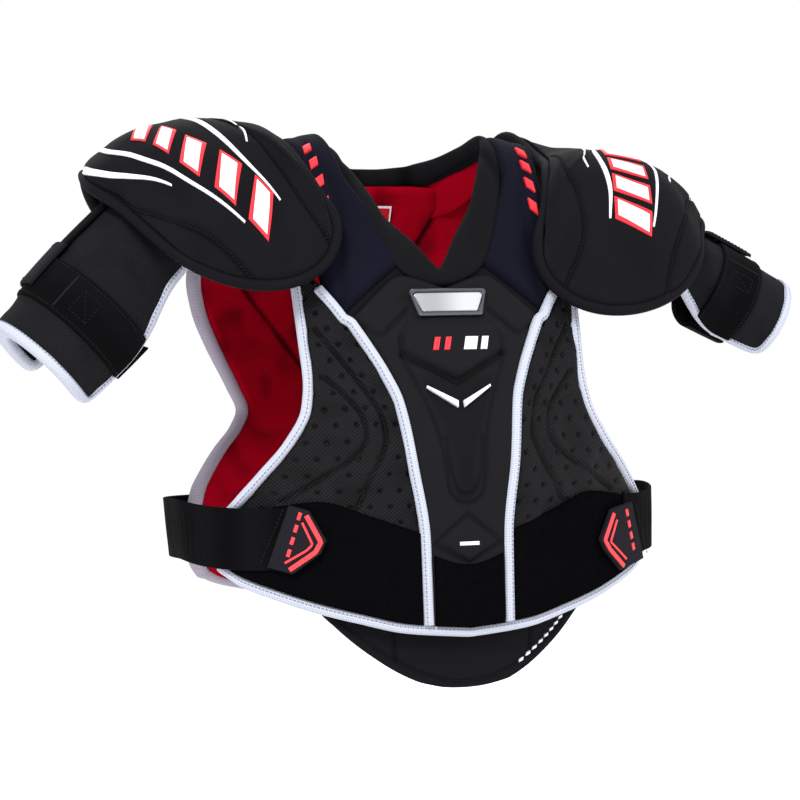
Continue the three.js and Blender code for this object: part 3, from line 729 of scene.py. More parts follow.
def stripe(name, form, line, widths, layer, material, step=2.2):
    """A tapered stripe along a curved line: widths at its start and end, in places' units."""
    centre = curved(line, 40)
    ahead = np.gradient(centre, axis=0)
    ahead /= np.linalg.norm(ahead, axis=-1, keepdims=True)
    aside = np.stack([-ahead[:, 1], ahead[:, 0]], -1)
    t = np.linspace(0, 1, len(centre))
    half = mix(widths[0], widths[1], t)[:, None] / 2

    def spread(u, v):
        middle = np.stack([np.interp(u, t, centre[:, k]) for k in (0, 1)], -1)
        side = np.stack([np.interp(u, t, (aside * half)[:, k]) for k in (0, 1)], -1)
        return middle + side * (2 * v - 1)[..., None]

    ends = raised(form, centre[:, 0], centre[:, 1], layer[1] + np.zeros(len(centre)))
    length = np.linalg.norm(np.diff(ends, axis=0), axis=-1).sum()
    sides = raised(form, *spread(np.array([0.5, 0.5]), np.array([0.0, 1.0])).T, layer[1] + np.zeros(2))
    size = (length, np.linalg.norm(sides[1] - sides[0]))
    return cloth(name, form, spread, size, layer, material, step=step, roll=0.5)


# ---- Cloth simulation: a pad is blown up between its seams, and its finer mesh follows.
def inflated(form, spread, size, layer, seams=(), pressure=4.0, most=5.0, cell=5.0):
    """How far stuffing pushes the outside of a pad, as a function of the shares u and v."""
    rows, columns = (max(int(s / cell), 4) + 1 for s in size)
    u, v = np.meshgrid(np.linspace(0, 1, rows), np.linspace(0, 1, columns), indexing="ij")
    place = spread(u, v)
    a, b = place[..., 0], place[..., 1]
    rest = raised(form, a, b, layer[1] + 0 * a)
    inner = raised(form, a, b, layer[0] + 0 * a)
    vertices = np.concatenate([rest.reshape(-1, 3), inner.reshape(-1, 3)])
    obj = make("stuffing", vertices, slab_faces(rest, form), bpy.data.materials[0])
    pinned = np.zeros((rows, columns), bool)
    pinned[[0, -1], :] = True
    pinned[:, [0, -1]] = True
    for seam in seams:
        pinned |= distance_to(curved(seam), a, b, form.scale) < cell * 0.6
    held = np.flatnonzero(np.concatenate([pinned.ravel(), np.ones(rows * columns, bool)]))
    group = obj.vertex_groups.new(name="seams")
    group.add(held.tolist(), 1.0, "REPLACE")
    modifier = obj.modifiers.new("stuffing", "CLOTH")
    settings = modifier.settings
    settings.quality = 5
    settings.mass = 0.3
    settings.tension_stiffness = 12
    settings.compression_stiffness = 8
    settings.bending_stiffness = 0.4
    settings.use_pressure = True
    settings.uniform_pressure_force = pressure
    settings.vertex_group_mass = "seams"
    settings.effector_weights.gravity = 0
    modifier.point_cache.frame_start = 1
    modifier.point_cache.frame_end = 20
    for frame_number in range(1, 21):
        bpy.context.scene.frame_set(frame_number)
    shaped = obj.evaluated_get(bpy.context.evaluated_depsgraph_get()).data
    points = np.empty(len(vertices) * 3)
    shaped.vertices.foreach_get("co", points)
    moved = points.reshape(-1, 3)[: rows * columns].reshape(rows, columns, 3) / MM - rest
    reach = np.linalg.norm(moved, axis=-1, keepdims=True)
    moved = np.where(np.isfinite(moved), moved, 0) * np.minimum(1, most / np.maximum(reach, 1e-6))
    bpy.data.objects.remove(obj, do_unlink=True)
    bpy.context.scene.frame_set(1)

    def at(u, v):
        i, j = u * (rows - 1), v * (columns - 1)
        return bicubic(moved, i, j)

    return at


def bicubic(values, i, j):
    """Smoothly between the values of a grid, at row i and column j."""
    rows, columns = values.shape[:2]
    i0, j0 = np.floor(i).astype(int), np.floor(j).astype(int)
    total = 0
    for di in (-1, 0, 1, 2):
        for dj in (-1, 0, 1, 2):
            weight = spline_weight(i - i0 - di) * spline_weight(j - j0 - dj)
            at = values[np.clip(i0 + di, 0, rows - 1), np.clip(j0 + dj, 0, columns - 1)]
            total = total + weight[..., None] * at
    return total


def spline_weight(d):
    """The cubic B-spline's share of a grid point at distance d."""
    d = np.abs(d)
    return np.where(d < 1, (4 - 6 * d**2 + 3 * d**3) / 6, np.where(d < 2, np.maximum(2 - d, 0) ** 3 / 6, 0))


# ---- Materials: each is worked out from the piece's own surface coordinates.
def linear(hex_colour):
    parts = [int(hex_colour[i : i + 2], 16) / 255 for i in (1, 3, 5)]
    return tuple(c / 12.92 if c <= 0.04045 else ((c + 0.055) / 1.055) ** 2.4 for c in parts)


class Tree:
    """Short names for building a material's nodes."""

    def __init__(self, name):
        self.material = bpy.data.materials.new(name)
        self.material.use_nodes = True
        self.tree = self.material.node_tree
        self.shader = self.tree.nodes["Principled BSDF"]

    def node(self, kind, **settings):
        made = self.tree.nodes.new(kind)
        for key, value in settings.items():
            setattr(made, key, value)
        return made

    def link(self, source, target):
        if hasattr(source, "is_output"):
            self.tree.links.new(source, target)
        else:
            target.default_value = source

    def maths(self, operation, first, second=0.0, third=0.0):
        made = self.node("ShaderNodeMath", operation=operation)
        for socket, value in zip(made.inputs, (first, second, third)):
            self.link(value, socket)
        return made.outputs[0]

    def blend(self, share, first, second):
        made = self.node("ShaderNodeMix", data_type="RGBA")
        self.link(share, made.inputs["Factor"])
        for socket, value in zip((made.inputs[6], made.inputs[7]), (first, second)):
            self.link(value if hasattr(value, "is_output") else (*value, 1), socket)
        return made.outputs[2]

    def noise(self, scale, detail=2.0, uv=False):
        made = self.node("ShaderNodeTexNoise")
        made.inputs["Scale"].default_value = scale
        made.inputs["Detail"].default_value = detail
        place = self.node("ShaderNodeTexCoord")
        self.link(place.outputs["UV" if uv else "Object"], made.inputs["Vector"])
        return made.outputs["Fac"]

    def waves(self, pitch_u, pitch_v):
        """Two sines of the surface coordinates, at these pitches in millimetres."""
        place = self.node("ShaderNodeTexCoord")
        split = self.node("ShaderNodeSeparateXYZ")
        self.link(place.outputs["UV"], split.inputs[0])
        return [
            self.maths("SINE", self.maths("MULTIPLY", split.outputs[k], 2 * math.pi / (pitch * MM)))
            for k, pitch in ((0, pitch_u), (1, pitch_v))
        ]


# How dark a finish's painted shade in grooves is, as a share of its colour.
GROOVE_SHADE_SHARE = 0.3


def finish_of(
    name, colour, shade=None, roughness=0.88, specular=0.2, weave="plain", pitch=(0.9, 0.9),
    bump=0.25, grain=0.2, fuzz=0.0, variation=0.16, metallic=0.0, on_cad=False, thread=0.55,
):
    """A cloth or moulded finish: colour that wanders a little, a weave, grain, and painted shade that darkens
    the grooves.
    """
    t = Tree(name)
    base = linear(colour)
    # low is the colour of the painted shade in grooves: the shade colour given, or the base colour darkened.
    low = linear(shade) if shade else tuple(c * GROOVE_SHADE_SHARE for c in base)
    dark = tuple(c * (1 - variation) for c in base)
    light = tuple(min(c * (1 + variation), 1) for c in base)
    tint = t.blend(t.noise(22, 3), dark, light)
    height = t.maths("MULTIPLY", t.noise(1400, 2), grain)
    if weave != "none":
        across_, along_ = t.waves(*pitch)
        if weave == "basket":
            pattern = t.maths("MULTIPLY", across_, along_)
        elif weave == "rib":
            pattern = t.maths("ADD", across_, t.maths("MULTIPLY", along_, 0.3))
        else:
            pattern = t.maths("ADD", t.maths("MULTIPLY", across_, 0.5), t.maths("MULTIPLY", along_, 0.5))
        lifted = t.maths("MULTIPLY_ADD", pattern, 0.5, 0.5)
        height = t.maths("ADD", height, lifted)
        gaps = tuple(c * thread for c in base)
        tint = t.blend(lifted, gaps, tint)
    if fuzz:
        tuft = t.noise(420, 4)
        height = t.maths("ADD", height, t.maths("MULTIPLY", tuft, fuzz))
        tint = t.blend(t.maths("MULTIPLY", tuft, 0.6), tuple(c * 2.2 for c in base), tint)
    # Painted shade: the colour goes towards low where the mesh's shade attribute falls below 1.
    if not on_cad:
        groove_shade_node = t.node("ShaderNodeAttribute", attribute_name="shade")
        tint = t.blend(groove_shade_node.outputs["Fac"], low, tint)
    t.link(tint, t.shader.inputs["Base Color"])
    bumped = t.node("ShaderNodeBump")
    bumped.inputs["Strength"].default_value = bump
    bumped.inputs["Distance"].default_value = 0.0005
    t.link(height, bumped.inputs["Height"])
    t.link(bumped.outputs[0], t.shader.inputs["Normal"])
    wear = t.maths("MULTIPLY_ADD", t.noise(35, 4), 0.12, roughness - 0.06)
    t.link(wear, t.shader.inputs["Roughness"])
    t.shader.inputs["Specular IOR Level"].default_value = specular
    t.shader.inputs["Metallic"].default_value = metallic
    return t.material


BLACK = finish_of("black_fabric", "#101014", roughness=0.8, specular=0.06)
FORMED = finish_of("formed_foam", "#111014", roughness=0.7, specular=0.09, pitch=(1.1, 1.1))
CHARCOAL = finish_of("charcoal_fabric", "#131316", specular=0.04)
MESH = finish_of("woven_mesh", "#17171a", roughness=0.55, specular=0.08, weave="basket", pitch=(3.2, 3.2),
                 bump=1.0, thread=0.1)
GUARD_CLOTH = finish_of("guard_mesh", "#19191c", specular=0.08, weave="basket", pitch=(2.4, 2.4), bump=0.9,
                        thread=0.35)
NAVY = finish_of("navy_fabric", "#10101d", specular=0.05)
# The shade colours given below are the painted shade in each finish's grooves.
RED = finish_of("red_lining", "#980018", shade="#360008", specular=0.02, pitch=(1.3, 1.3))
RIBBED = dict(specular=0.15, weave="rib", pitch=(1.3, 2.2))
WHITE = finish_of("white_binding", "#bdc1cf", shade="#9aa0b2", variation=0.05, **RIBBED)
# The white binding again, darker and greyer as painted shade, for the binding round the back.
PAINTED_SHADE_BINDING = finish_of("shaded_binding", "#9f97a6", shade="#7f7888", variation=0.06, **RIBBED)
THREAD = finish_of("grey_thread", "#70758e", weave="none", grain=0.3)
DARK_THREAD = finish_of("black_thread", "#0c0c0e", weave="none", grain=0.3)
VELOUR = finish_of("loop_velour", "#040405", roughness=1, specular=0.0, weave="none", grain=1.0, fuzz=2.0,
                   bump=1.0)
WEBBING = finish_of("elastic_webbing", "#0b0b0d", specular=0.03, weave="rib", pitch=(50, 1.7), bump=0.6)
FLAT = dict(weave="none", bump=0.1)
RUBBER = finish_of("red_rubber", "#e0333a", roughness=0.5, specular=0.4, variation=0.06, **FLAT)
PRINT_WHITE = finish_of("white_print", "#d6d7dc", roughness=0.55, specular=0.15, variation=0.03, **FLAT)
PRINT_RED = finish_of("red_print", "#d8202c", roughness=0.55, specular=0.35, variation=0.08, **FLAT)
LABEL_RED = finish_of("label_red", "#a80a20", roughness=0.7, specular=0.1, **FLAT)
SILVER = finish_of(
    "silver_plastic", "#c9ccd0", roughness=0.34, specular=0.5, weave="rib", pitch=(70, 0.5), bump=0.06,
    metallic=0.55, variation=0.05,
)
SLATE = finish_of("slate_fabric", "#1e1c22", specular=0.06)
SHELL = finish_of("shell_plastic", "#1b1b1e", roughness=0.5, specular=0.4, weave="none")
GUNMETAL = finish_of("badge_chrome", "#55575d", roughness=0.3, specular=0.5, weave="none", bump=0.05,
                     metallic=0.7)
MOULDED = finish_of("moulded_plastic", "#1b1b1e", roughness=0.5, specular=0.4, weave="none", on_cad=True)


def piece(obj, body, slot, *nodes, padded=None):
    """Attaches a finished piece to the body it moves with and hides the CAD parts it stands for; slot is not
    used.
    """
    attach(obj, body)
    if nodes:
        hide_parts(*nodes)
    return obj


def sewn(name, form, line, height, body, slot, thread=DARK_THREAD, **options):
    """A row of stitches that belongs to a body."""
    return piece(stitches(name, form, line, height, thread, **options), body, slot)


def declared_sheet(obj):
    return obj


# ---- Vest front.
LINING, PANEL, CORE, SIDE_BAND, CENTRE_BAND = (0, 3.5), (3.7, 12), (5, 14), (12.2, 15.2), (14.2, 17)
STERNUM_LINES = [
    [(-34, -130), (-46, -140), (-56, -149), (-66, -145), (-77, -139)],
    [(34, -130), (46, -140), (57, -149), (66, -145), (77, -139)],
    [(-34, -140), (-42, -154), (-42, -166)],
    [(34, -140), (41, -154), (41, -166)],
    [(-41, -172), (-31, -196), (-21, -225), (-16, -255), (-13, -275), (-6, -282), (6, -282), (13, -275),
     (16, -255), (20, -225), (30, -196), (40, -172)],
    [(-15, -232), (-11, -262), (-5, -275), (5, -275), (11, -262), (15, -232)],
]
SHIELD_LINE = [(-42, -166), (0, -188), (41, -166)]
DIAMOND = [(0, -292), (27, -316), (0, -331), (-27, -316), (0, -292)]


def sternum_relief():
    lines = [groove(chest, line, 2.0, 2.0) for line in STERNUM_LINES]
    shield = groove(chest, SHIELD_LINE, 2.6, 3.6, straight=True)
    diamond = groove(chest, DIAMOND, 2.2, 1.8, straight=True)

    def faces(x, z):
        chevron = np.abs(x) * 0.53 - 188
        raised_shield = smooth((z - chevron) / 9) * smooth((44 - np.abs(x)) / 9) * smooth((-134 - z) / 10)
        valley = smooth((-176 - z) / 16) * smooth((z + 286) / 12)
        half = 12 + 26 * smooth((z + 262) / 100)
        pad_share = smooth((27 - np.abs(x) - np.abs(z + 313) * 1.35) / 9)
        return 2.6 * raised_shield - 1.8 * valley * smooth((half - np.abs(x)) / 9) + 1.8 * pad_share

    return [*lines, shield, diamond, faces]


SEAM_SHIFT = 3.5


def chest_grooves(side):
    """Two long seams of a chest panel, drawn on the wearer's left and moved out by SEAM_SHIFT."""
    outer = [(103, -142), (78, -180), (60, -212), (58, -234), (73, -265), (80, -281), (92, -300)]
    inner = [(99, -181), (75, -211), (73, -232), (86, -247), (104, -258), (134, -278)]
    return [on_side(side, [(x + SEAM_SHIFT, z) for x, z in line]) for line in (outer, inner)]


def build_chest():
    panel_edge, hem = inside(front_edge, BINDING_MARGIN), above(front_hem, BINDING_MARGIN)
    corner = float(hem(panel_edge(-335)))
    lining = between(
        across(front_top, -panel_edge(FRONT_TOP), panel_edge(FRONT_TOP)),
        across(hem, -panel_edge(corner), panel_edge(corner)),
        down(lambda z: -panel_edge(z), float(front_top(112)), corner),
        down(panel_edge, float(front_top(112)), corner),
    )
    quilting = [groove(chest, [(x, -110), (x * 0.9, -250), (x, -380)], 1.9, 2.6) for x in (-95, -32, 32, 95)]
    piece(cloth("chest_lining", chest, lining, (270, 270), LINING, RED, step=3.0, roll=3, relief=quilting),
          "vest", "red_lining", "chest_liner", padded=0.4)

    inset = PANEL_SEAM
    ends = float(sternum_top(83)), float(front_hem(33)) + BINDING_MARGIN
    sternum = between(
        across(sternum_top, -(83 - inset), 83 - inset),
        across(hem, -(33 - inset), 33 - inset),
        down(lambda z: inset - sternum_edge(z), *ends),
        down(lambda z: sternum_edge(z) - inset, *ends),
    )
    cover = cloth("sternum_cover", chest, sternum, (100, 270), CORE, FORMED, step=1.3, roll=5,
                  relief=sternum_relief())
    piece(cover, "vest", "black_fabric", "sternum_panel", padded=0.7)
    for name, side in SIDES:
        build_chest_side(name, side, panel_edge, hem, corner)
    for name, side in SIDES:
        facing = mirrored(side, between(
            bent((22, -88), (92, -104)), bent((22, -112), (92, -146)), bent((22, -88), (22, -112)),
            bent((92, -104), (92, -146)),
        ))
        patch = cloth(f"{name}_neck_facing", chest, facing, (75, 34), (3.6, 9.5), BLACK, step=2.0, roll=3)
        piece(patch, "vest", "black_fabric", padded=0.4)
    build_centre_band()
    build_chest_marks()
    edge_z = np.linspace(FRONT_TOP + 18, -331, 74)
    hem_x = np.linspace(float(front_edge(-331)), -float(front_edge(-331)), 90)
    border = np.concatenate([
        pair(front_edge(edge_z), edge_z),
        pair(hem_x, front_hem(np.abs(hem_x)))[1:-1],
        pair(-front_edge(edge_z[::-1]), edge_z[::-1]),
    ])
    binding = piped("front_binding", chest, border, oval(4.6, 7.0, (-1.4, 6.0)), WHITE)
    piece(binding, "vest", "white_binding", "chest_binding")
    sewn("front_binding_stitches", chest, border, 13.2, "vest", "white_binding", THREAD, out=-2.6)


def build_chest_side(name, side, panel_edge, hem, corner):
    top = CHEST_TOP + 16
    inner_corner = float(sternum_edge(CHEST_TOP)) + PANEL_SEAM, top
    panel = between(
        bent(inner_corner, (float(panel_edge(FRONT_TOP)) - 1, top + UNDER_CAP)),
        across(hem, float(sternum_edge(-385)) + PANEL_SEAM, float(panel_edge(corner))),
        down(lambda z: sternum_edge(z) + PANEL_SEAM, top, float(hem(sternum_edge(-385) + PANEL_SEAM))),
        down(panel_edge, top + UNDER_CAP, corner),
    )
    lines = chest_grooves(side)
    seams = [groove(chest, line, 1.9, 2.6) for line in lines]
    soft = [lambda x, z: 1.1 * rough(x, z, 62, seed=side)]
    quilted = cloth(
        f"{name}_chest_quilting", chest, mirrored(side, panel), (100, 260), PANEL, MESH, step=1.25, roll=5,
        relief=[*seams, dimples(15, 1.9, 2.6, seams), *soft],
    )
    piece(quilted, "vest", "woven_mesh", f"{name}_chest_panel", padded=0.6)
    for i, line in enumerate(lines):
        sewn(f"{name}_chest_seam_{i}", chest, curved(line), SEAM_STITCHES, "vest", "woven_mesh")
    edge_z = np.linspace(CHEST_TOP, float(front_hem(33)) + 5, 90)
    upper = curved([(101, -110), (91, -124), (83, -137)], 12)[:-1] * (side, 1)
    line = np.concatenate([upper, pair(side * sternum_edge(edge_z), edge_z)])
    piping = piped(f"{name}_front_piping", chest, line, oval(4.3, 4.6, (0, 11.6)), WHITE)
    piece(piping, "vest", "white_binding", f"{name}_sternum_piping")
    sewn(f"{name}_piping_stitches", chest, line, 16.3, "vest", "white_binding", THREAD, out=-2.0)
    near, far = float(sternum_edge(-310)) + 3.5, float(panel_edge(-300)) - 1
    band = between(
        across(band_top, near, far),
        across(above(front_hem, 5), near, float(panel_edge(corner)) - 1),
        bent((near, float(band_top(near))), (near, float(front_hem(near)) + 5)),
        bent((far, float(band_top(far))), (float(panel_edge(corner)) - 1, corner + 2)),
    )
    fluff = [lambda x, z: 0.35 * rough(x, z, 4.3, seed=3) + 0.25 * rough(z, x, 2.6, seed=5)]
    loops = cloth(f"{name}_loop_pile", chest, mirrored(side, band), (130, 75), SIDE_BAND, VELOUR, step=1.4,
                  roll=1.5, relief=fluff)
    piece(loops, "vest", "loop_velour", f"{name}_loop_band")
    declared_sheet(loops)


def build_centre_band():
    band = between(
        lambda t: pair(mix(-28, 28, t), -324 - 8 * np.sin(np.pi * t)),
        across(above(front_hem, 5), -28, 28),
        bent((-28, -324), (-28, float(front_hem(25)) + 5)),
        bent((28, -324), (28, float(front_hem(25)) + 5)),
    )
    fluff = [lambda x, z: 0.35 * rough(x, z, 4.3, seed=4) + 0.25 * rough(z, x, 2.6, seed=6)]
    loops = cloth("centre_loop_pile", chest, band, (56, 55), CENTRE_BAND, VELOUR, step=1.4, roll=1.5,
                  relief=fluff)
    piece(loops, "vest", "loop_velour", "centre_loop_band")
    declared_sheet(loops)


def build_chest_marks():
    for i, side in enumerate((-1, 1)):
        corners = on_side(side, [(26, -191), (26.5, -193), (2.5, -209), (2.0, -203.5)])
        piece(bar_mark(f"chevron_bar_{i}", chest, corners, (11, 15.2), PRINT_WHITE), "vest", "white_binding")
    bars = ((-17, 5, PRINT_RED), (-8, 5, PRINT_RED), (8, 11, PRINT_WHITE), (22, 6, PRINT_WHITE))
    for i, (x, width, material) in enumerate(bars):
        corners = [(x + 1.5, -153), (x + width + 1.5, -153), (x + width - 1.5, -164), (x - 1.5, -164)]
        slot_name = "red_rubber" if material is PRINT_RED else "white_binding"
        piece(bar_mark(f"front_mark_{i}", chest, corners, (14, 17.4), material), "vest", slot_name)
    low_bar = [(-8, -313.5), (8, -313.5), (8, -317), (-8, -317)]
    piece(bar_mark("size_bar", chest, low_bar, (13, 16.4), PRINT_WHITE), "vest", "white_binding")


def build_badge():
    """A bright trapezoid plate in a dark frame, flat on the sternum."""
    frame_levels = ((0.0, 0.0), (0.0, 2.2), (0.9, 3.2), (2.2, 3.2), (3.0, 1.4), (3.6, 0.6))
    plate_levels = ((3.4, 0.0), (3.4, 1.8), (4.2, 2.5), (5.0, 2.5))
    piece(bezel("badge_surround", frame_levels, GUNMETAL), "vest", "silver_plastic", "badge_frame")
    piece(bezel("badge_face", plate_levels, SILVER), "vest", "moulded_plastic", "badge_plate")


def bezel(name, levels, material):
    """A trapezoid with round corners, built up from (inset, height) steps."""
    place = raised(chest, np.array(0.0), np.array(-125.0), 15.0)
    tall = unit(place - raised(chest, np.array(0.0), np.array(-135.0), 15.0))
    wide = np.array((1.0, 0, 0))
    out = np.cross(wide, tall)
    radius = 2.6
    rings = []
    for inset, height in levels:
        for x, z, start in ((-28, -11.5, 180), (28, -11.5, 270), (33, 11.5, 0), (-33, 11.5, 90)):
            for turn in np.radians(start + np.array((0, 30, 60, 90))):
                across_ = x - math.copysign(inset + radius, x) + radius * math.cos(turn)
                along_ = z - math.copysign(inset + radius, z) + radius * math.sin(turn)
                rings.append(place + wide * across_ + tall * along_ + out * height)
    count = 16
    vertices = np.concatenate([rings, [np.mean(rings[-count:], 0)], [np.mean(rings[:count], 0)]])
    faces = quads(len(levels), count, wrap=True)
    j = np.arange(count)
    last = (len(levels) - 1) * count
    top = np.stack([last + j, last + (j + 1) % count, np.full(count, len(vertices) - 2)], -1)
    base = np.stack([(j + 1) % count, j, np.full(count, len(vertices) - 1)], -1)
    triangles = np.concatenate([faces[:, [0, 2, 1]], faces[:, [0, 3, 2]], top, base])
    uv = (vertices - place) @ np.stack([wide, tall], -1)
    return make(name, vertices, triangles, material, uv, softly=False)


def build_belly():
    high = -336
    spread = between(
        across(lambda x: high + 0 * x, -float(belly_edge(high)), float(belly_edge(high))),
        across(lambda x: -430 - 4 * np.sqrt(np.maximum(1 - (x / 27) ** 2, 0)), -26, 26),
        down(lambda z: -belly_edge(z), high, -430),
        down(belly_edge, high, -430),
    )
    layer = (-8, -1.4)
    seams = [[(-62, -340), (-58, -408)], [(62, -340), (58, -408)]]
    edge_z = np.linspace(high, -430, 60)
    low_x = np.linspace(26, -26, 24)[1:-1]
    rim = np.concatenate([
        pair(belly_edge(edge_z), edge_z),
        pair(low_x, -430 - 4 * np.sqrt(1 - (low_x / 27) ** 2)),
        pair(-belly_edge(edge_z[::-1]), edge_z[::-1]),
    ])
    hemmed = []
    for x, z in rim:
        drawn_in = 1 - 7 / max(math.hypot(x, (z + 330) * 1.1), 8)
        hemmed.append((x * drawn_in, z + 7 * min(1, (-330 - z) / 90)))
    relief = [groove(chest, seam, 1.6, 1.6) for seam in seams] + [groove(chest, hemmed[6:-6:3], 1.4, 1.2)]
    stuffed = inflated(chest, spread, (200, 95), layer, seams, most=2.6)
    pad_ = cloth("belly_flap", chest, spread, (200, 95), layer, BLACK, relief=relief, puff=stuffed)
    piece(pad_, "belly_pad", "black_fabric", "belly_pad", padded=0.5)
    sewn("belly_hem_stitches", chest, hemmed[4:-4], -1.6, "belly_pad", "black_fabric")
    for i in range(9):
        z = -377 - 4.6 * i
        x = float(belly_edge(z)) - 13
        corners = [(x - 2.4, z + 1.4), (x + 1.6, z + 3.2), (x + 1.0, z + 0.4), (x - 3.0, z - 1.4)]
        dash = bar_mark(f"belly_dash_{i}", chest, corners, (-3, -0.4), PRINT_WHITE)
        piece(dash, "belly_pad", "white_binding")


# ---- Vest back.
def nape(x):
    """The top of the back, which reaches up behind the collar."""
    return BACK_TOP + 9 * smooth((90 - np.abs(x)) / 30)


BACK_SEAMS = [
    [(84, -50), (96, -120), (70, -200), (96, -280), (84, -350)],
    [(122, -60), (128, -110), (96, -190), (128, -280), (126, -335)],
]


def build_back():
    panel_edge, hem = inside(back_edge, BINDING_MARGIN), above(back_hem, BINDING_MARGIN)
    corner = float(hem(panel_edge(-342)))
    lining = between(
        across(nape, -float(panel_edge(BACK_TOP)), float(panel_edge(BACK_TOP))),
        across(hem, -float(panel_edge(corner)), float(panel_edge(corner))),
        down(lambda z: -panel_edge(z), BACK_TOP, corner),
        down(panel_edge, BACK_TOP, corner),
    )
    quilting = [
        groove(rear, [(-150, -60), (-40, -200), (30, -340)], 2.0, 3.0),
        groove(rear, [(-60, -24), (20, -170), (130, -320)], 2.0, 3.0),
        groove(rear, [(60, -24), (-20, -170), (-130, -320)], 2.0, 3.0),
        groove(rear, [(150, -60), (40, -200), (-30, -340)], 2.0, 3.0),
    ]
    layer = (-1.5, 3.5)
    puffs = [lambda x, z: -1.2 * rough(x, z, 70, seed=2)]
    inner = cloth("back_lining", rear, lining, (290, 330), layer, RED, step=2.6, roll=3)
    piece(inner, "vest", "red_lining", "back_liner", padded=0.4)
    inside_pad = lining_face("back_quilting", rear, lining, (290, 330), [*quilting, *puffs])
    piece(inside_pad, "vest", "red_lining")
    spine = between(
        across(nape, -60, 60),
        across(lambda x: float(back_hem(0)) + BINDING_MARGIN + 0 * x, -30, 30),
        down(lambda z: -spine_edge(z), BACK_TOP, float(back_hem(0)) + BINDING_MARGIN),
        down(spine_edge, BACK_TOP, float(back_hem(0)) + BINDING_MARGIN),
    )
    ribs = [
        groove(rear, [(-24, z), (0, z - 10), (24, z)], 2.6, 2.0, straight=True) for z in range(-90, -330, -34)
    ]
    frame_line = [
        groove(rear, on_side(side, [(44, -60), (30, -170), (20, -330)]), 2.2, 1.8) for side in (1, -1)
    ]
    spine_cover = cloth("spine_pad", rear, spine, (110, 340), CORE, BLACK, step=1.8, roll=6,
                        relief=[*ribs, *frame_line])
    piece(spine_cover, "vest", "black_fabric", "spine_panel", padded=0.7)
    for name, side in SIDES:
        panel = between(
            across(nape, 58, float(panel_edge(BACK_TOP))),
            across(hem, 28, float(panel_edge(corner))),
            down(lambda z: spine_edge(z) - 2, BACK_TOP, float(hem(31))),
            down(panel_edge, BACK_TOP, corner),
        )
        lines = [on_side(side, line) for line in BACK_SEAMS]
        seams = [groove(rear, line, 2.4, 2.6) for line in lines]
        soft = [lambda x, z: 1.0 * rough(x, z, 66, seed=side + 3)]
        quilted = cloth(f"{name}_back_quilting", rear, mirrored(side, panel), (100, 320), PANEL, BLACK,
                        step=1.9, roll=5, relief=[*seams, *soft])
        piece(quilted, "vest", "black_fabric", f"{name}_back_panel", padded=0.6)
        for i, line in enumerate(lines):
            sewn(f"{name}_back_seam_{i}", rear, curved(line), SEAM_STITCHES, "vest", "black_fabric")
        patch = mirrored(side, rectangle((122, 150), (-273, -331)))
        anchor = cloth(f"{name}_anchor_patch", rear, patch, (28, 58), (12, 15.2), WEBBING, step=1.6, roll=1.2)
        piece(anchor, "vest", "elastic_webbing", f"{name}_strap_anchor")
        declared_sheet(anchor)
        box = on_side(side, [(126, -279), (146, -279), (146, -325), (126, -325), (126, -279)])
        sewn(f"{name}_anchor_stitches", rear, box, 15.4, "vest", "elastic_webbing", THREAD)
    edge_z = np.linspace(BACK_TOP, -343, 90)
    hem_x = np.linspace(float(back_edge(-343)), -float(back_edge(-343)), 90)
    border = np.concatenate([
        pair(back_edge(edge_z), edge_z),
        pair(hem_x, back_hem(np.abs(hem_x)))[1:-1],
        pair(-back_edge(edge_z[::-1]), edge_z[::-1]),
    ])
    piece(piped("rear_binding", rear, border, oval(4.6, 7.0, (-1.2, 5.2)), PAINTED_SHADE_BINDING), "vest", "white_binding",
          "back_binding")
    sewn("rear_binding_stitches", rear, border, 12.4, "vest", "white_binding", THREAD, out=-2.6)
    build_labels()


def lining_face(name, form, spread, size, relief):
    """The quilted side of a lining that faces the wearer."""
    _, _, place, edge = grid_of(spread, size, 2.4, 5)
    a, b = place[..., 0], place[..., 1]
    detail = sum(part(a, b) for part in relief)
    lift = np.sqrt(1 - (1 - edge) ** 2)
    inner = raised(form, a, b, -1.6 - 4.4 * lift - detail * lift)
    outer = raised(form, a, b, -1.4 + 0 * a)
    # Painted shade darkens the quilting grooves.
    obj = slab(name, outer, inner, form, RED, place * form.scale, shade_of(detail))
    return obj


def build_labels():
    """A plain care tag and a blank red label in a white frame, sewn inside the neck."""
    tag = cloth("care_tag", rear, rectangle((-41, -13), (-14, -34)), (28, 20), (-9.4, -8.4), BLACK, step=1.5,
                roll=0.5)
    piece(tag, "vest", "black_fabric")
    declared_sheet(tag)
    frame_ = cloth("label_frame", rear, rectangle((-19, 12), (-26, -62)), (31, 36), (-9, -8), PRINT_WHITE,
                   step=1.5, roll=0.5)
    piece(frame_, "vest", "white_binding", "neck_tag")
    declared_sheet(frame_)
    label = cloth("blank_label", rear, rectangle((-17.2, 10.2), (-27.8, -60.2)), (27, 32), (-9.6, -9.1),
                  LABEL_RED, step=1.5, roll=0.5)
    piece(label, "vest", "red_rubber")


# ---- Shoulders and collar.
def yoke_patch(side, inset, tuck=9):
    """A shoulder pad's outline, its inner edge tucked this far under the collar."""
    return mirrored(side, between(
        bent((float(yoke_inner(18)) - tuck, 19), (float(yoke_outer(4)) - inset, 3)),
        bent((float(yoke_inner(134)) - tuck, 134), (float(yoke_outer(130)) - inset, 130)),
        down(lambda angle: yoke_inner(angle) - tuck, 19, 134),
        down(lambda angle: yoke_outer(angle) - inset, 3, 130),
    ))


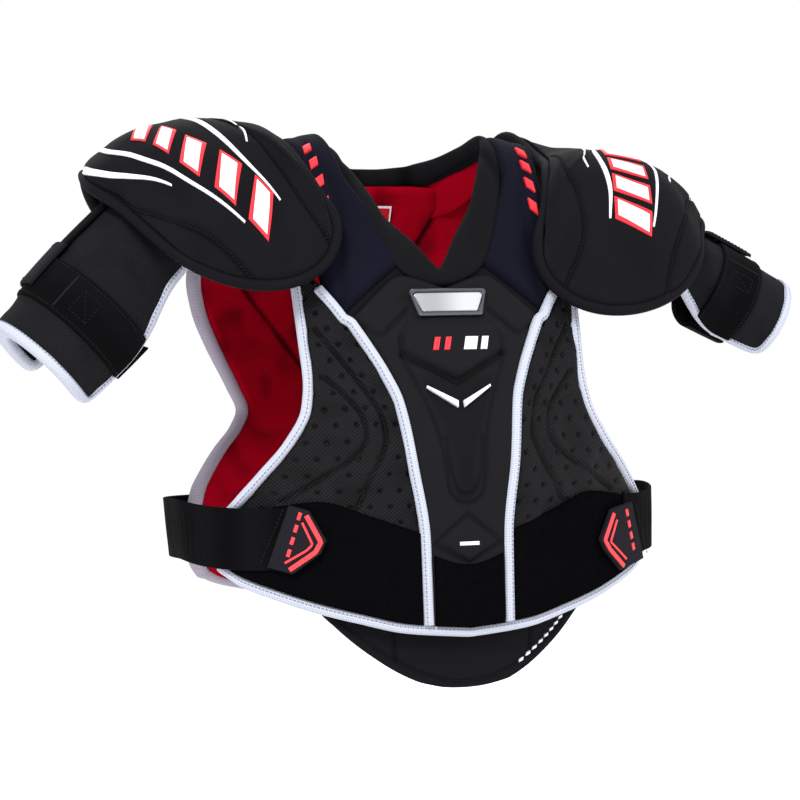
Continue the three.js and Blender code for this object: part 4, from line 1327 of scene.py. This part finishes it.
def build_yokes():
    for name, side in SIDES:
        layer = (4.0, 15)
        fold = on_side(side, [(82, 8), (78, 40), (92, 70), (90, 126)])
        edge_seam = on_side(side, [(96, 16), (97, 45), (104, 90), (105, 125)])
        stuffed = inflated(over_shoulder, yoke_patch(side, 0.5), (40, 220), layer, [edge_seam], most=3.0)
        relief = [groove(over_shoulder, edge_seam, 1.6, 1.6), groove(over_shoulder, fold, 4.0, 0.8)]
        cushion = cloth(f"{name}_shoulder_pad", over_shoulder, yoke_patch(side, 0.5), (40, 220), layer, NAVY,
                        step=1.6, roll=5, relief=relief, puff=stuffed)
        piece(cushion, "vest", "navy_fabric", f"{name}_yoke_pad", padded=0.7)
        sewn(f"{name}_shoulder_stitches", over_shoulder, curved(edge_seam), 15.2, "vest", "navy_fabric")
        channel = groove(over_shoulder, on_side(side, [(88, 20), (88, 60), (88, 100)]), 2.5, 1.5)
        lining = cloth(f"{name}_shoulder_lining", over_shoulder, yoke_patch(side, 1.5, -1), (32, 220),
                       (-2.5, 3.6), RED, step=2.4, roll=2, relief=[channel])
        piece(lining, "vest", "red_lining", f"{name}_yoke_liner", padded=0.4)
        for i in range(4):
            angle = 40 + 9.5 * i
            x = 88 + 1.2 * i
            corners = on_side(side, [(x - 3.6, angle + 3.4), (x + 3.4, angle + 1.6), (x + 3.6, angle - 3.4),
                                     (x - 3.2, angle - 1.2)])
            mark = bar_mark(f"{name}_shoulder_dash_{i}", over_shoulder, corners, (14, 16.9), PRINT_RED)
            piece(mark, "vest", "red_rubber")


def collar_loop(half):
    return half + [(-x, y, z) for x, y, z in half[-2:0:-1]]


def build_collar():
    """The padded neck band: a soft ring between its open rim and the seam with the vest."""
    steps, sides = 260, 40
    t = np.arange(steps) / steps
    inner = spline(collar_loop(COLLAR_RIM), t, closed=True)
    seam = spline(collar_loop(COLLAR_SEAM), t, closed=True)
    width = seam - inner
    length = np.linalg.norm(width, axis=-1, keepdims=True)
    width /= length
    rim = collar_loop(COLLAR_RIM)
    ahead = spline(rim, t + 0.01, closed=True) - spline(rim, t - 0.01, closed=True)
    thick = np.cross(ahead, width)
    thick /= np.linalg.norm(thick, axis=-1, keepdims=True)
    turn = np.linspace(0, 2 * math.pi, sides, endpoint=False)
    half = (length + 3) / 2
    tucks = (0.235, 0.275, 0.46, 0.54, 0.765)
    notch = sum(np.exp(-(((t - place + 0.5) % 1 - 0.5) / 0.011) ** 2) for place in tucks)
    swell = 7.6 + 1.3 * np.sin(t * 14 * math.pi + 0.6) * np.sin(t * 6 * math.pi) - 2.6 * notch
    seam_dip = 1 - 0.2 * np.exp(-(((turn - 0.62 * math.pi) / 0.1) ** 2))
    rings = (
        inner[:, None]
        + width[:, None] * (half[:, None] * (1 - np.cos(turn))[None, :, None])
        + thick[:, None] * (swell[:, None] * np.sin(turn)[None] * seam_dip[None])[..., None]
    )
    flat = leaned(rings[..., 0], rings[..., 1], rings[..., 2] + 0.06 * rings[..., 0])
    # Painted shade: darker in the tucks, and halved along the dip at the seam.
    shade = np.clip(1 - 0.9 * notch[:, None] + 0 * turn[None], 0.2, 1)
    shade = shade * np.where(seam_dip[None] < 0.9, 0.5, 1)
    run = np.cumsum(np.linalg.norm(np.diff(inner, axis=0, prepend=inner[:1]), axis=-1))
    uv = np.stack(np.broadcast_arrays(run[:, None], turn[None] * 9), -1)
    faces = looped(steps, sides)
    normal = np.cross(flat[1, 0] - flat[0, 0], flat[0, 1] - flat[0, 0])
    if np.dot(normal, flat[0, 0] - flat[0].mean(0)) < 0:
        faces = faces[:, ::-1]
    obj = make("neck_band", flat.reshape(-1, 3), faces, CHARCOAL, uv, shade)
    piece(obj, "vest", "charcoal_fabric", "collar", padded=0.8)
    build_neck_lining()


def build_neck_lining():
    """Red cloth that joins the collar's seam to the linings behind and beside the neck."""
    t = np.linspace(0.31, 0.69, 110)
    seam = spline(collar_loop(COLLAR_SEAM), t, closed=True)
    rim = spline(collar_loop(COLLAR_RIM), t, closed=True)
    top = mix(rim, seam, 0.6)
    outward = unit(seam * (1, 1, 0))
    behind = smooth(seam[:, 1] / 60)[:, None]
    foot = seam + outward * (6 + 3 * behind) - (8 + 22 * behind) * np.array((0, 0, 1.0))
    share = np.linspace(0, 1, 24)[None, :, None]
    cloth_ = mix(top[:, None], foot[:, None], share) - outward[:, None] * 2.5 * np.sin(np.pi * share)
    tilt = 0.06 * cloth_[..., 0] * (1 - 0.7 * share[..., 0])
    cloth_ = leaned(cloth_[..., 0], cloth_[..., 1], cloth_[..., 2] + tilt)
    layers = np.concatenate([cloth_.reshape(-1, 3), (cloth_ + outward[:, None] * 1.6).reshape(-1, 3)])
    faces = both_sides(*cloth_.shape[:2])
    normal = np.cross(cloth_[1, 0] - cloth_[0, 0], cloth_[0, 1] - cloth_[0, 0])
    if np.dot(normal, outward[0]) > 0:
        faces = faces[:, ::-1]
    uv = np.stack(np.broadcast_arrays(t[:, None] * 420, share[..., 0] * 40), -1).reshape(-1, 2)
    lining = make("neck_lining", layers, faces, RED, np.concatenate([uv, uv]))
    piece(lining, "vest", "red_lining")
    declared_sheet(lining)


# ---- Side straps.
TAB_CORNERS = {
    "left": [(150, -289), (127, -294), (115, -318), (120, -328), (136, -345), (163, -337)],
    "right": [(131, -280), (118, -285), (107, -309), (111, -319), (130, -335), (146, -329)],
}
STRAP_REACH = {"left": (46, -42), "right": (46, -50)}


def build_side_strap(name, side):
    flank = Flank(side)
    start, end = STRAP_REACH[name]

    def wound(heights):
        def at(u, v):
            angle = mix(start, end, u)
            z = -299 - 8 * smooth(-angle / 38) + mix(25, -25, v)
            waist = np.maximum(np.sin(np.pi * (angle + 26) / 60), 0) ** 1.5
            ripple = 0.35 * np.sin(angle * 1.9) * np.sin(np.pi * v)
            return raised(flank, angle, z, heights - mix(6, 12, v) * waist + ripple)

        return at

    u, v = np.meshgrid(shares(300, 2.2, 1.0), shares(50, 1.3, 1.0), indexing="ij")
    edge = np.clip(np.minimum(v, 1 - v) * 50 / 1.0, 0, 1)
    lift = np.sqrt(1 - (1 - edge) ** 2)
    outer, inner = wound(17.0 + 1.3 * lift)(u, v), wound(17.0 - 1.1 * lift)(u, v)
    uv = np.stack([u * 300, v * 50], -1)
    strap = slab(f"{name}_side_elastic", outer, inner, flank, WEBBING, uv)
    body = f"{name}_side_strap"
    piece(strap, body, "elastic_webbing", f"{name}_side_strap")
    declared_sheet(strap)
    top, shoulder, tip, chin, heel, bottom = TAB_CORNERS[name]

    def tab(grow):
        def moved(point, right, up):
            return point[0] + right, point[1] + up

        return mirrored(side, between(
            bent(moved(top, grow, grow), moved(shoulder, 0, grow), moved(tip, -grow, 0)),
            bent(moved(bottom, grow, -grow), moved(heel, 0, -grow), moved(chin, -grow, 0)),
            bent(moved(top, grow, grow), moved(bottom, grow, -grow)),
            bent(moved(tip, -grow, 0), moved(chin, -grow, 0)),
        ))

    hook = cloth(f"{name}_hook_tab", chest, tab(0.4), (38, 45), (18.2, 21.4), SLATE, step=1.4, roll=1.4)
    piece(hook, body, "black_fabric", f"{name}_side_hook_tab")
    declared_sheet(hook)
    for i, (inset, girth) in enumerate(((3.4, 2.0), (9.0, 1.0))):
        chevron = np.array([shoulder, tip, chin, heel], float) + np.array([
            (inset * 0.5, -inset), (inset, -inset * 0.3), (inset, inset * 0.3), (inset * 0.5, inset),
        ])
        section = oval(girth, 0.7, (0, 21.7))
        bar_ = piped(f"{name}_tab_chevron_{i}", chest, chevron * (side, 1), section, RUBBER, pitch=2)
        piece(bar_, body, "red_rubber", *([f"{name}_tab_badge"] if i == 0 else []))
    edge_top, edge_bottom = np.array(top, float) - (8, 4), np.array(bottom, float) - (13, -6)
    for i in range(4):
        start_at, end_at = (mix(edge_top, edge_bottom, (i + share) / 4) for share in (0.18, 0.82))
        corners = [start_at - (1.4, 0.6), start_at + (1.2, 0.6), end_at + (1.4, 0.6), end_at - (1.2, 0.6)]
        dash = bar_mark(f"{name}_tab_bar_{i}", chest, np.array(corners) * (side, 1), (20, 22.2), RUBBER)
        piece(dash, body, "red_rubber")
    row = on_side(side, [(top[0] + 4, top[1] - 4), (bottom[0] + 3, bottom[1] + 5)])
    sewn(f"{name}_tab_stitches", chest, row, 21.6, body, "black_fabric")


# ---- Shoulder caps: stripes and seams are places on the dome.
CAP_SEAMS = {
    "left": [
        [(-0.86, -0.1), (-0.5, -0.36), (-0.15, -0.49), (0.0, -0.68), (0.0, -0.79), (-0.1, -0.94)],
        [(0.86, 0.2), (0.76, -0.15), (0.6, -0.5), (0.56, -0.67), (0.57, -0.8)],
    ],
    "right": [
        [(-0.3, 0.3), (-0.18, -0.1), (-0.13, -0.44), (-0.17, -0.72), (-0.34, -0.9)],
        [(0.94, -0.2), (0.84, -0.42), (0.5, -0.68), (0.39, -0.83), (0.35, -0.92)],
    ],
}
CAP_STRIPES = {
    "left": [
        ([(-0.31, -0.05), (-0.17, -0.23), (-0.04, -0.37)], (0.035, 0.012)),
        ([(-0.24, 0.2), (-0.04, -0.17), (0.12, -0.45), (0.16, -0.62)], (0.05, 0.012)),
        ([(0.36, 0.2), (0.37, -0.2), (0.4, -0.57)], (0.042, 0.012)),
        ([(0.6, 0.2), (0.56, 0.0), (0.52, -0.21)], (0.03, 0.012)),
    ],
    "right": [
        ([(-0.3, -0.08), (-0.16, -0.25), (-0.02, -0.4)], (0.03, 0.012)),
        ([(0.0, 0.2), (0.08, -0.16), (0.09, -0.47), (0.01, -0.7)], (0.05, 0.012)),
        ([(0.72, 0.14), (0.62, -0.2), (0.46, -0.43), (0.27, -0.72)], (0.05, 0.012)),
        ([(0.93, 0.1), (0.8, -0.2), (0.53, -0.46)], (0.065, 0.012)),
    ],
}
CAP_MARKS = {
    "left": [(0.06, 0.0), (0.13, -0.14), (0.19, -0.28), (0.24, -0.42), (0.28, -0.56)],
    "right": [(0.42, -0.05), (0.36, -0.21), (0.3, -0.37), (0.22, -0.53), (0.14, -0.69)],
}
CAP_MARK_LAYERS = ((0.056, 0.105, PRINT_RED, 1.35), (0.04, 0.089, PRINT_WHITE, 1.7))
CAP_FILL = 0.962


def build_cap(name, arm):
    form, body = Cap(arm), f"{name}_cap"
    dome = disc(CAP_FILL)
    layer = (-5, 0.6)
    seams = CAP_SEAMS[name]
    stuffed = inflated(form, dome, (190, 230), layer, seams, most=3.2, cell=5.5)
    relief = [groove(form, seam, 1.7, 2.2) for seam in seams]

    def uneven(a, b):
        """How far the cover wanders at a place; trim laid on it follows the same height."""
        return 0.7 * rough(a * 92, b * 105, 60, seed=arm["side"] + 1)

    relief.append(uneven)
    cover = cloth(f"{name}_cap_shell_cloth", form, dome, (200, 250), layer, BLACK, relief=relief,
                  puff=stuffed)
    piece(cover, body, "black_fabric", f"{name}_cap_cover", padded=0.8)
    for i, seam in enumerate(seams):
        sewn(f"{name}_cap_seam_{i}", form, curved(seam), 0.4, body, "black_fabric")
    on_top = Lifted(form, stuffed, uneven)
    for i, (line, widths) in enumerate(CAP_STRIPES[name]):
        printed = stripe(f"{name}_cap_stripe_{i}", on_top, line, widths, (-0.6, 1.5), PRINT_WHITE)
        piece(printed, body, "white_binding")
    ahead = np.gradient(np.array(CAP_MARKS[name]), axis=0)
    for i, ((a, b), (da, db)) in enumerate(zip(CAP_MARKS[name], ahead)):
        run = np.array((da, db)) / math.hypot(da, db)
        aside = np.array((-run[1], run[0]))
        for part, (long, wide, material, high) in enumerate(CAP_MARK_LAYERS):
            middle = np.array((a, b))
            slant = run * 0.03
            corners = [
                middle - run * long - aside * wide - slant, middle + run * long - aside * wide - slant,
                middle + run * long + aside * wide + slant, middle - run * long + aside * wide + slant,
            ]
            mark = bar_mark(f"{name}_cap_mark_{i}_{part}", on_top, corners, (-0.6, high), material)
            piece(mark, body, "red_rubber" if part == 0 else "white_binding")
    lining = cloth(f"{name}_cap_lining", form, disc(0.95), (200, 250), (-12.5, -8), BLACK, step=3.4, roll=3)
    piece(lining, body, "black_fabric", f"{name}_cap_liner", padded=0.5)
    shell = cloth(f"{name}_cap_moulding", form, disc(0.94), (200, 250), (-7.6, -5.6), SHELL, step=4.0, roll=2)
    piece(shell, body, "moulded_plastic", f"{name}_cap_shell")
    turn = np.linspace(0, 2 * math.pi, 160, endpoint=False)
    rim = np.stack([np.cos(turn), np.sin(turn)], -1) * 0.955
    section = oval(4.5, 4.5, (4.6, -3.6), power=2)
    bead = piped(f"{name}_cap_edge", form, rim, section, BLACK, closed=True, ease=16)
    piece(bead, body, "black_fabric", f"{name}_cap_piping")
    inner_rim = np.stack([np.cos(turn), np.sin(turn)], -1) * 0.925
    sewn(f"{name}_cap_edge_stitches", form, inner_rim, 0.3, body, "black_fabric", closed=True, ease=10)


class Lifted:
    """A form whose surface follows a stuffed cover."""

    def __init__(self, form, stuffed, lift):
        self.form, self.stuffed, self.lift = form, stuffed, lift
        self.step, self.scale = form.step, form.scale

    def core(self, p):
        return self.form.core(p)

    def at(self, a, b):
        point = raised(self.form, a, b, self.lift(np.asarray(a, float), np.asarray(b, float)))
        if self.stuffed is None:
            return point
        p, q = np.asarray(a, float) / CAP_FILL, np.asarray(b, float) / CAP_FILL
        # The inverse of disc(): from a place on the dome back to the square it was spread from.
        s, d = p * p - q * q, 2 * math.sqrt(2)
        u = 0.5 * (np.sqrt(np.maximum(2 + s + d * p, 0)) - np.sqrt(np.maximum(2 + s - d * p, 0)))
        v = 0.5 * (np.sqrt(np.maximum(2 - s + d * q, 0)) - np.sqrt(np.maximum(2 - s - d * q, 0)))
        return point + self.stuffed((u + 1) / 2, (v + 1) / 2)


# ---- Bicep guards.
def build_guard(name, arm):
    form, body = Arm(arm), f"{name}_guard"

    def front_wrap(a):
        return mix(*arm["wrap"], smooth((a + 40) / 75))

    def around(a, share):
        return pair(a, mix(-78 - 0.2 * a, front_wrap(a), share))

    def cover_spread(u, v):
        return around(mix(-72, 78, u), v)

    def wound(u, v):
        return around(mix(8, 48, u), v)

    layer = (-3, 0.4)
    stuffed = inflated(form, cover_spread, (150, 190), layer, [], most=1.0, pressure=2.0, cell=6.0)
    wrinkle = [lambda a, b: 0.5 * rough(a, b * 0.8, 55, seed=arm["side"] + 4)]
    cover = cloth(f"{name}_guard_cloth", form, cover_spread, (150, 190), layer, GUARD_CLOTH, step=1.8, roll=3,
                  relief=wrinkle, puff=stuffed)
    piece(cover, body, "woven_mesh", f"{name}_guard_cover", padded=0.6)
    lining = cloth(f"{name}_guard_lining", form, cover_spread, (150, 190), (-12.4, -7.4), BLACK, step=3.4,
                   roll=3)
    piece(lining, body, "black_fabric", f"{name}_guard_liner", padded=0.5)
    share = np.linspace(0, 1, 60)
    border = np.concatenate([
        cover_spread(share, 0 * share)[:-1], cover_spread(0 * share + 1, share)[:-1],
        cover_spread(share[::-1], 0 * share + 1)[:-1], cover_spread(0 * share, share[::-1])[:-1],
    ])
    section = oval(5.0, 8.0, (0.6, -5.6))
    binding = piped(f"{name}_guard_edge", form, border, section, WHITE, closed=True, ease=14)
    piece(binding, body, "white_binding", f"{name}_guard_binding")
    sewn(f"{name}_guard_edge_stitches", form, border, 1.9, body, "white_binding", THREAD, closed=True,
         out=-2.6, ease=7)
    band = cloth(f"{name}_guard_elastic", form, wound, (40, 190), (0.2, 3.0), WEBBING, step=1.8, roll=1.2)
    piece(band, body, "elastic_webbing", f"{name}_guard_band")
    declared_sheet(band)
    for i, edge in enumerate((11, 45)):
        line = around(np.full(80, float(edge)), np.linspace(0.02, 0.98, 80))
        sewn(f"{name}_guard_band_stitches_{i}", form, line, 3.1, body, "elastic_webbing")
    cross = [(18, 66), (38, 66), (38, 84), (18, 84), (18, 66), (38, 84)]
    sewn(f"{name}_guard_box_stitches", form, cross, 3.2, body, "elastic_webbing")
    corners = [(12, 52), (44, 52), (44, 54), (12, 54)]
    slit = bar_mark(f"{name}_guard_slit", form, corners, (2.4, 3.4), DARK_THREAD)
    piece(slit, body, "elastic_webbing")

    start = arm["wrap"][1] + 6
    u, v = np.meshgrid(shares(36, 1.8, 1.0), shares(110, 2.4, 1.0), indexing="ij")
    edge = np.clip(np.minimum(u, 1 - u) * 36, 0, 1)
    lift = np.sqrt(1 - (1 - edge) ** 2)
    sag = arm["sag"] * np.sin(np.pi * np.minimum(v / 0.9, 1))
    a, b = mix(10, 46, u), mix(start, 269, v)
    outer, inner = raised(form, a, b, 2.0 + 1.2 * lift - sag), raised(form, a, b, 2.0 - 1.2 * lift - sag)
    uv = np.stack([v * 110, u * 36], -1)
    strap = slab(f"{name}_closing_elastic", outer, inner, form, WEBBING, uv)
    closing = f"{name}_closing_strap"
    piece(strap, closing, "elastic_webbing", f"{name}_guard_strap")
    declared_sheet(strap)
    tab = cloth(f"{name}_closing_tab", form, rectangle((11, 45), (264, 296)), (34, 28), (3.4, 6.4), SLATE,
                step=1.5, roll=1.3)
    piece(tab, closing, "black_fabric", f"{name}_guard_strap_tab")
    declared_sheet(tab)
    box = [(15, 268), (41, 268), (41, 292), (15, 292), (15, 268)]
    sewn(f"{name}_closing_stitches", form, box, 6.5, closing, "black_fabric")

    link = cloth(f"{name}_link_elastic", form, rectangle((-84, 2), (-16, 16)), (86, 26), (2.2, 4.4), WEBBING,
                 step=1.7, roll=1.1)
    piece(link, f"{name}_link", "elastic_webbing", f"{name}_link_strap")
    declared_sheet(link)
    link_tab = cloth(f"{name}_link_hook", form, rectangle((-5, 39), (-21, 19)), (44, 34), (4.4, 7.2), SLATE,
                     step=1.5, roll=1.3)
    piece(link_tab, f"{name}_link", "black_fabric", f"{name}_link_tab")
    declared_sheet(link_tab)
    box = [(-1, -17), (35, -17), (35, 15), (-1, 15), (-1, -17)]
    sewn(f"{name}_link_stitches", form, box, 7.3, f"{name}_link", "black_fabric")


# ---- The whole part.
light_studio()
place_camera()
build_chest()
build_badge()
build_belly()
build_back()
build_yokes()
build_collar()
for strap_side, strap_sign in SIDES:
    build_side_strap(strap_side, strap_sign)
    build_cap(strap_side, ARMS[strap_side])
    build_guard(strap_side, ARMS[strap_side])
for node in ("sternum_plate", "spine_plate", "left_guard_plate", "right_guard_plate"):
    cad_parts[node].data.materials.clear()
    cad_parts[node].data.materials.append(MOULDED)
